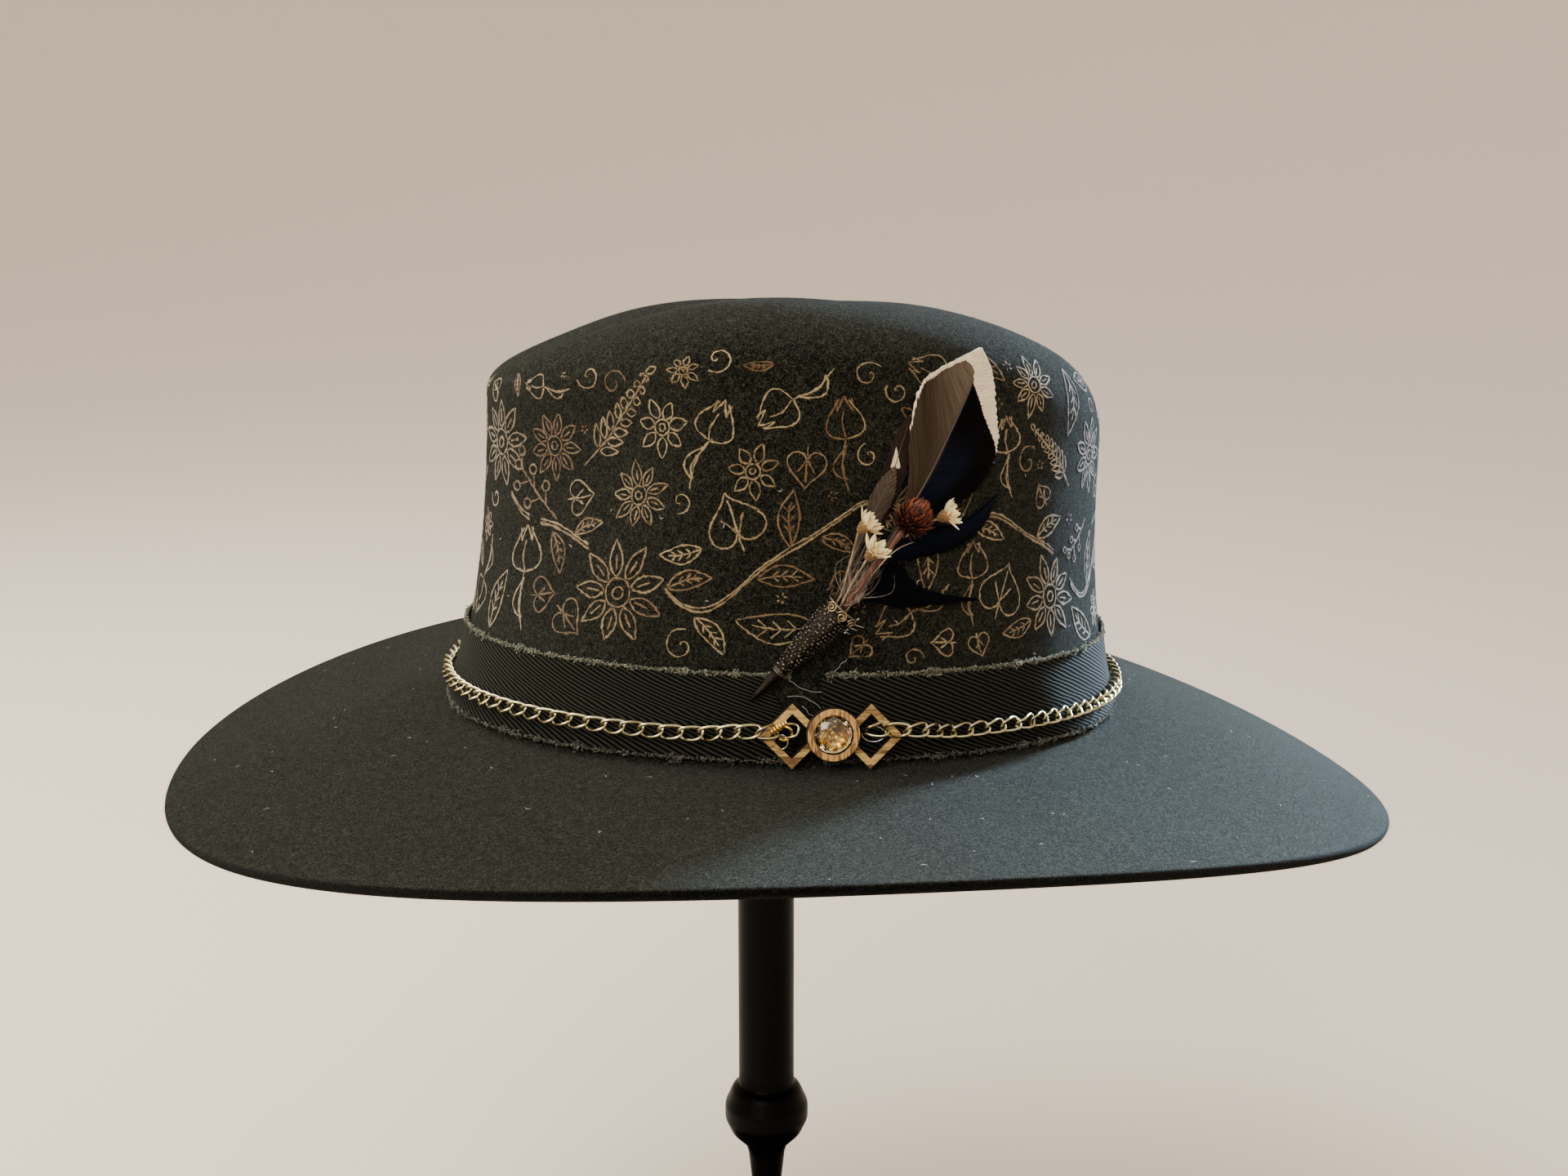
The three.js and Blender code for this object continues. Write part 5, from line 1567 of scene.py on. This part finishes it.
def square_to(way):
    """Two directions square to a way and to each other."""
    side = unit(np.cross(way, [0, 1.0, 0.2]))
    return side, np.cross(side, way)


def stem_skin(name, grain, dark, light, edges, **values):
    """A dry stem's fibrous skin, streaked along its length."""
    return two_toned(name, (grain, 3.0, 0.6), dark, light, edges=edges, bump=(0.5, 0.0003), **values)


def stem(slot, rows, base, radius):
    """A thin rod from the cone's mouth along its rows of x, height and distance out, eased, to
    the foot of a head, with slow swellings."""
    (x, z, out), _ = smoothed(rows, 14)
    line = np.concatenate([slot_point(*slot)[None], on_side(x, z, out), base[None]])
    return tubes(line[None], radius * (1 + 0.12 * np.sin(np.arange(16) * 1.8)), sides=8)


def scales(middle, way, out_way, size, width, curl, rows=6, columns=5, thick=0.12):
    """Many pointed scales at once: each a blade that narrows to a tip by 1-t^2, bent outwards
    by curl t^2 and hollowed across, with a front and a back sheet."""
    t = np.linspace(0, 1, rows)[None, :, None, None]
    j = np.linspace(-1, 1, columns)[None, None, :, None]
    side = unit(np.cross(way, out_way))[:, None, None]
    way, out_way, middle = way[:, None, None], out_way[:, None, None], middle[:, None, None]
    size, width = (np.asarray(v, float).reshape(-1, 1, 1, 1) for v in (size, width))
    half = width / 2 * (1 - t ** 2.2) * (0.55 + 0.9 * t - 0.45 * t ** 2) + 0.02
    blade = middle + way * size * (t - 0.12 * curl * t ** 3) + side * half * j
    blade = blade + out_way * (curl * size * 0.45 * t ** 2 + 0.35 * half * (j ** 2))
    front, back = blade + out_way * thick / 2, blade - out_way * thick / 2
    points = np.stack([front, back], 1).reshape(-1, 3)
    return points, [repeated(shell_faces(rows, columns), len(middle), 2 * rows * columns)]


def along_scales(count, rows, columns=5):
    """How far along its scale each point of so many scales is, from 0 to 1."""
    return np.tile(np.repeat(np.linspace(0, 1, rows), columns), 2 * count)


scale_radius, core_radius = 3.7, 3.9
globe_head = on_side(15.0, 71.0, 9.9)
globe_way = unit(globe_head - slot_point(0.5, 0.4))
globe_side, globe_other = square_to(globe_way)
count = 230
level = 1 - 2 * (np.arange(count) + 0.5) / count
golden_angle = np.pi * (3 - 5 ** 0.5)
swirl = np.arange(count) * golden_angle
ring = np.sqrt(1 - level ** 2)
normal = (globe_way * level[:, None] + globe_side * (ring * np.cos(swirl))[:, None]
          + globe_other * (ring * np.sin(swirl))[:, None])
upwards = globe_way - normal * level[:, None] + normal * 0.55
upwards = unit(upwards + flower_dice.normal(0, 0.10, (count, 3)))
outwards = unit(normal - upwards * (normal * upwards).sum(axis=1, keepdims=True))
size = flower_dice.uniform(2.1, 3.0, count)
points, groups = scales(globe_head + normal * scale_radius, upwards, outwards, size, size * 0.46, 0.12)
# Tones rise with each scale's height on the head: lighter at the top and darker at the foot is painted
# light and shade, and the added noise is random
tones = np.repeat(np.clip(0.28 + 0.48 * level + flower_dice.normal(0, 0.24, count), 0, 1), 60)
russet, tree, shader, place = new_material("russet_scales", Roughness=0.42, Specular_IOR_Level=0.35)
tone = stored(tree, "tone")
veins = noise(tree, place, 1100.0, 3.0, 0.6)
deep = colours(tree, tone, (0.008, 0.0012, 0.0008), (0.055, 0.0085, 0.0025))
bright = colours(tree, tone, (0.040, 0.006, 0.0025), (0.420, 0.092, 0.020))
streaky_tip = calc(tree, "MULTIPLY", stored(tree, "tip"), between(tree, veins, 0.30, 0.62))
scale_colour = colours(tree, streaky_tip, deep, bright)
finish_material(tree, shader, Base_Color=scale_colour, Normal=relief(tree, veins, 0.35, 0.0003))
turn, tall = full_turn(16), np.linspace(0.12, np.pi - 0.12, 9)[:, None]
core = globe_head + core_radius * (
    globe_way * (np.cos(tall) + 0 * turn)[..., None]
    + globe_side * (np.sin(tall) * np.cos(turn))[..., None]
    + globe_other * (np.sin(tall) * np.sin(turn))[..., None])
head_points, head_groups = join_groups([(points, groups), (core.reshape(-1, 3), capped(9, 16))])
on_core = np.zeros(core.size // 3)
values = {"tone": np.concatenate([tones, on_core]),
          "tip": np.concatenate([along_scales(count, 6), on_core])}
globe = add_piece("flower_globe_scales", to_row(head_points), head_groups, russet,
                  values=values)
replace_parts(globe, "flower_globe")
red_stem = stem_skin("red_stem", (1500.0, 1500.0, 200.0), (0.050, 0.014, 0.008), (0.165, 0.060, 0.034),
                     (0.35, 0.65), Roughness=0.55, Specular_IOR_Level=0.4)
globe_rows = [(-1.2, 48.5, 6.4), (2.8, 54.5, 7.2), (7.4, 60.6, 8.1), (11.0, 65.6, 8.9)]
points, groups = stem((0.5, 0.4), globe_rows, globe_head - globe_way * 2.5, 0.85)
add_piece("flower_globe_stem", to_row(points), groups, red_stem)

# Dried star flowers
# Three small straw flowers: a cup of ochre scales, a ring of stiff cream petals with pointed
# tips that open to the upper right, and a thin pale stem each.

# Each head's x, height and distance out, its direction, its slot in the cone and its stem's rows
star_spots = [
    ((2.9, 69.2, 7.6), (0.72, -0.25, 0.62), (-2.0, 1.1),
     [(-3.6, 49.5, 6.2), (-1.2, 58.5, 6.0), (0.0, 64.5, 6.3)]),
    ((3.9, 62.8, 12.0), (0.52, -0.42, 0.74), (-0.6, 2.3),
     [(-2.9, 49.0, 7.4), (-0.8, 54.2, 8.5), (1.1, 58.0, 10.0)]),
    ((26.0, 71.5, 8.6), (0.88, -0.25, 0.42), (2.0, -1.8),
     [(1.0, 49.0, 2.0), (7.0, 55.5, 0.7), (13.5, 62.5, 0.7), (18.8, 67.6, 2.4), (21.2, 69.3, 6.0)]),
]


def petal_skin(name, fineness, foot, tip, edges, depth, **values):
    """A ribbed skin that goes from its foot's two colours to its tip's two along each scale."""
    material, tree, shader, place = new_material(name, **values)
    ribs = noise(tree, place, fineness, 3.0, 0.6)
    along = between(tree, stored(tree, "tip"), *edges)
    skin_colour = colours(tree, along, colours(tree, ribs, *foot), colours(tree, ribs, *tip))
    finish_material(tree, shader, Base_Color=skin_colour, Normal=relief(tree, ribs, depth, 0.0003))
    return material


cream_petal = petal_skin(
    "cream_petal", 1400.0, ((0.50, 0.31, 0.11), (0.70, 0.52, 0.25)),
    ((0.80, 0.61, 0.26), (0.96, 0.83, 0.47)), (0.02, 0.45), 0.3,
    Roughness=0.5, Sheen_Weight=0.3, Subsurface_Weight=0.15, Subsurface_Scale=0.001)
ochre = petal_skin(
    "ochre_scales", 1300.0, ((0.12, 0.052, 0.009), (0.30, 0.145, 0.026)),
    ((0.40, 0.23, 0.055), (0.66, 0.46, 0.155)), (0.35, 0.95), 0.4, Roughness=0.6, Sheen_Weight=0.2)
straw_stem = stem_skin("straw_stem", (1700.0, 1700.0, 220.0), (0.11, 0.070, 0.035), (0.34, 0.25, 0.14),
                       (0.3, 0.7), Roughness=0.55)

# Each ring of petals: how many, their lean, length and width, and where they start
petal_rings = [(8, 0.74, 4.3, 3.0, 1.45), (8, 0.42, 4.2, 2.7, 1.1), (6, 0.14, 3.5, 2.0, 0.6)]
cup_count, cup_radii = 9, (0.55, 1.1, 1.45, 1.6)
cup_profile = [(0.3, -3.5), (0.9, -3.0), (1.45, -1.8), (1.6, -0.6), (1.35, 0.1), (0.3, 0.3)]
for number, (spot, heading, slot, rows) in enumerate(star_spots, 1):
    head, way = on_side(*spot), unit(np.array(heading))
    side, other = square_to(way)
    petals, cups = [], []
    for count, lean, length, wide, start in petal_rings:
        turn = 2 * np.pi * (np.arange(count) + 0.3 * number) / count + flower_dice.normal(0, 0.10, count)
        lean = lean + flower_dice.normal(0, 0.12, count)
        spoke = side * np.cos(turn)[:, None] + other * np.sin(turn)[:, None]
        petal_way = unit(way * np.cos(lean)[:, None] + spoke * np.sin(lean)[:, None])
        inwards = unit(spoke * np.cos(lean)[:, None] - way * np.sin(lean)[:, None])
        size = length * flower_dice.uniform(0.82, 1.05, count)
        foot = head - way * 0.5 + spoke * start
        petals.append(scales(foot, petal_way, inwards, size, wide, 0.30, 8, 5, 0.10))
    for level, low in enumerate(cup_radii):
        turn = 2 * np.pi * (np.arange(cup_count) + 0.5 * level) / cup_count
        spoke = side * np.cos(turn)[:, None] + other * np.sin(turn)[:, None]
        foot = head + way * (-3.3 + 0.75 * level) + spoke * low
        upwards, outwards = unit(way + spoke * (0.42 - 0.12 * level)), unit(spoke - way * 0.3)
        cups.append(scales(foot, upwards, outwards, np.full(cup_count, 1.9), 1.15, -0.15, 5, 5, 0.12))
    body = np.array([[head + way * h + (side * np.cos(a) + other * np.sin(a)) * r for a in full_turn(14)]
                     for r, h in cup_profile])
    cups.append((body.reshape(-1, 3), capped(len(cup_profile), 14)))
    points, groups = join_groups(petals)
    tips = along_scales(sum(count for count, *_ in petal_rings), 8)
    made = add_piece(f"star_petals_{number}", to_row(points), groups, cream_petal,
                     values={"tip": tips})
    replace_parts(made, f"flower_star_{number}")
    points, groups = join_groups(cups)
    tips = np.concatenate([along_scales(cup_count * len(cup_radii), 5), np.zeros(body.size // 3)])
    add_piece(f"star_cup_{number}", to_row(points), groups, ochre, values={"tip": tips})
    points, groups = stem(slot, rows, head - way * 3.2, 0.28)
    add_piece(f"star_stem_{number}", to_row(points), groups, straw_stem)

# Display stand
# A turned stand in satin black lacquer: a heavy round foot, a slim rod, a collar with a
# rounded shoulder, and a straight post whose small cap carries the crown.

cap_foot, post_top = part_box("stand_cap")[0][2] * 1000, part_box("stand_post")[1][2] * 1000


def lathe(profile, columns):
    """A profile of radius and height turned round +Z, closed by a flat face at each end."""
    points, _ = turned_body(profile, columns)
    return points / 1000, capped(len(profile), columns)


def rounded(profile, pieces=6):
    """A profile with each of its steps cut into short pieces and its corners eased."""
    profile = np.array(profile, float)
    far = distances(np.hypot(*np.diff(profile, axis=0).T))
    even = np.linspace(0, far[-1], len(profile) * pieces)
    fine = np.stack([np.interp(even, far, column) for column in profile.T])
    eased = np.stack([
        np.convolve(np.pad(row, 2, mode="edge"), np.ones(5) / 5, "valid") for row in fine])
    eased[:, 0], eased[:, -1] = profile[0], profile[-1]
    return eased.T


lacquer, tree, shader, place = new_material(
    "satin_lacquer", Roughness=0.35, Specular_IOR_Level=0.05)
mottle = noise(tree, place, 60.0, 4.0, 0.6)
dust = noise(tree, place, 900.0, 3.0, 0.7)
dusty = colours(tree, between(tree, dust, 0.62, 0.78), (0.0006, 0.0006, 0.0009), (0.007, 0.007, 0.009))
rough = calc(tree, "MULTIPLY_ADD", mottle, 0.2, 0.26)
finish_material(
    tree, shader, Base_Color=dusty, Roughness=rough, Normal=relief(tree, mottle, 0.15, 0.0006))
foot_profile = [(78.5, 0.0), (80.8, 0.35), (82.0, 1.2), (82.0, 6.5), (81.7, 7.3), (81.1, 7.85),
                (80.2, 8.0), (6.0, 8.0)]
collar = rounded([(5, 60), (6.3, 72), (7.3, 75), (12, 80), (14.2, 85), (14.2, 90), (11.6, 96),
                  (9.4, 98)], 12)
post_profile = np.concatenate([
    [(5, 8.4)], collar, [(9.4, 104), (9.4, 200), (9.4, post_top - 0.4), (9.0, post_top)]])
cap_profile = np.array([(23, 0), (25.6, 1.2), (27.2, 2.4), (28, 3.9), (27.8, 4.8), (27.0, 5.6),
                        (25.8, 6.0)]) + [0, cap_foot]
for name, node, profile, columns in (
        ("stand_foot_turned", "stand_base", foot_profile, 192),
        ("stand_post_turned", "stand_post", post_profile, 128),
        ("stand_cap_turned", "stand_cap", cap_profile, 128)):
    points, groups = lathe(profile, columns)
    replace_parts(add_piece(name, points, groups, lacquer), node)

# Room for the photograph
# A plain pale floor that curves up into a wall all round, as a studio's paper sweep does. Two
# broad warm lamps light it from the front and from overhead, a narrow cool one lights the hat
# from the right behind, and the sky is pale.

floor_reach, sweep_radius, sweep_columns = 2.0, 3.8, 96     # metres
sweep_turn = np.radians(np.linspace(-90, 0, 14))
sweep_run = np.concatenate([[0.5, 1.2], floor_reach + sweep_radius * np.cos(sweep_turn), [5.8]])
sweep_rise = np.concatenate([[0, 0], sweep_radius + sweep_radius * np.sin(sweep_turn), [4.4]])
sweep = turned_body(np.stack([sweep_run, sweep_rise], -1), sweep_columns)[0]
sweep = np.concatenate([sweep, [[0, 0, 0]]])
faces = grid_faces(len(sweep_run), sweep_columns)[:, ::-1].tolist()
faces += [(len(sweep) - 1, k, (k + 1) % sweep_columns) for k in range(sweep_columns)]
floor_material = new_material("floor", Roughness=0.95, Base_Color=(0.76, 0.665, 0.555))[0]
mesh = bpy.data.meshes.new("floor")
mesh.from_pydata(sweep.tolist(), [], faces)
mesh.polygons.foreach_set("use_smooth", np.full(len(faces), True))
mesh.materials.append(floor_material)
floor = bpy.data.objects.new("floor", mesh)
bpy.context.scene.collection.objects.link(floor)
floor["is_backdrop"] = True


def lamp(name, place_at, aim, size, power, colour):
    """A square soft lamp at a place, turned to what it lights."""
    light = bpy.data.lights.new(name, "AREA")
    light.size, light.energy, light.color = size, power, colour
    made = bpy.data.objects.new(name, light)
    made.location = place_at
    way = unit(np.array(aim, float) - np.array(place_at, float))
    made.rotation_euler = (np.arccos(-way[2]), 0, np.arctan2(-way[0], way[1]))
    bpy.context.scene.collection.objects.link(made)
    return made


lamp("front_lamp", (-1.0, -1.5, 1.5), (0, 0, 0.27), 1.2, 32, (1.0, 0.94, 0.86))
back_lamp = lamp("back_lamp", (1.55, 0.95, 0.72), (0.29, -0.09, 0.22), 0.45, 7.0, (0.56, 0.76, 1.0))
back_lamp.data.spread = np.radians(15)
lamp("top_lamp", (-0.75, 0.5, 1.5), (-0.05, 0, 0.3), 1.2, 42, (1.0, 0.97, 0.91))

# The cool lamp lights the hat only, so the floor keeps its warm tone and the stand stays black
lit = bpy.data.collections.new("lit_from_behind")
for piece in bpy.context.scene.objects:
    if piece.type == "MESH" and piece != floor and not piece.name.startswith("stand"):
        lit.objects.link(piece)
back_lamp.light_linking.receiver_collection = lit
world = bpy.data.worlds.new("room")
world.use_nodes = True
sky = world.node_tree.nodes["Background"].inputs
sky["Color"].default_value = (0.84, 0.79, 0.73, 1)
sky["Strength"].default_value = 1.35
bpy.context.scene.world = world

eye = bpy.data.cameras.new("camera")
eye.lens, eye.sensor_width = 42.06, 36.0
eye.clip_start, eye.clip_end = 0.01, 100
camera = bpy.data.objects.new("camera", eye)
camera.location = (-0.1003, -0.5632, 0.4073)
camera.rotation_euler = np.radians([90 - 13.36, 0, -10.7])
bpy.context.scene.collection.objects.link(camera)
bpy.context.scene.camera = camera

low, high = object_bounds()
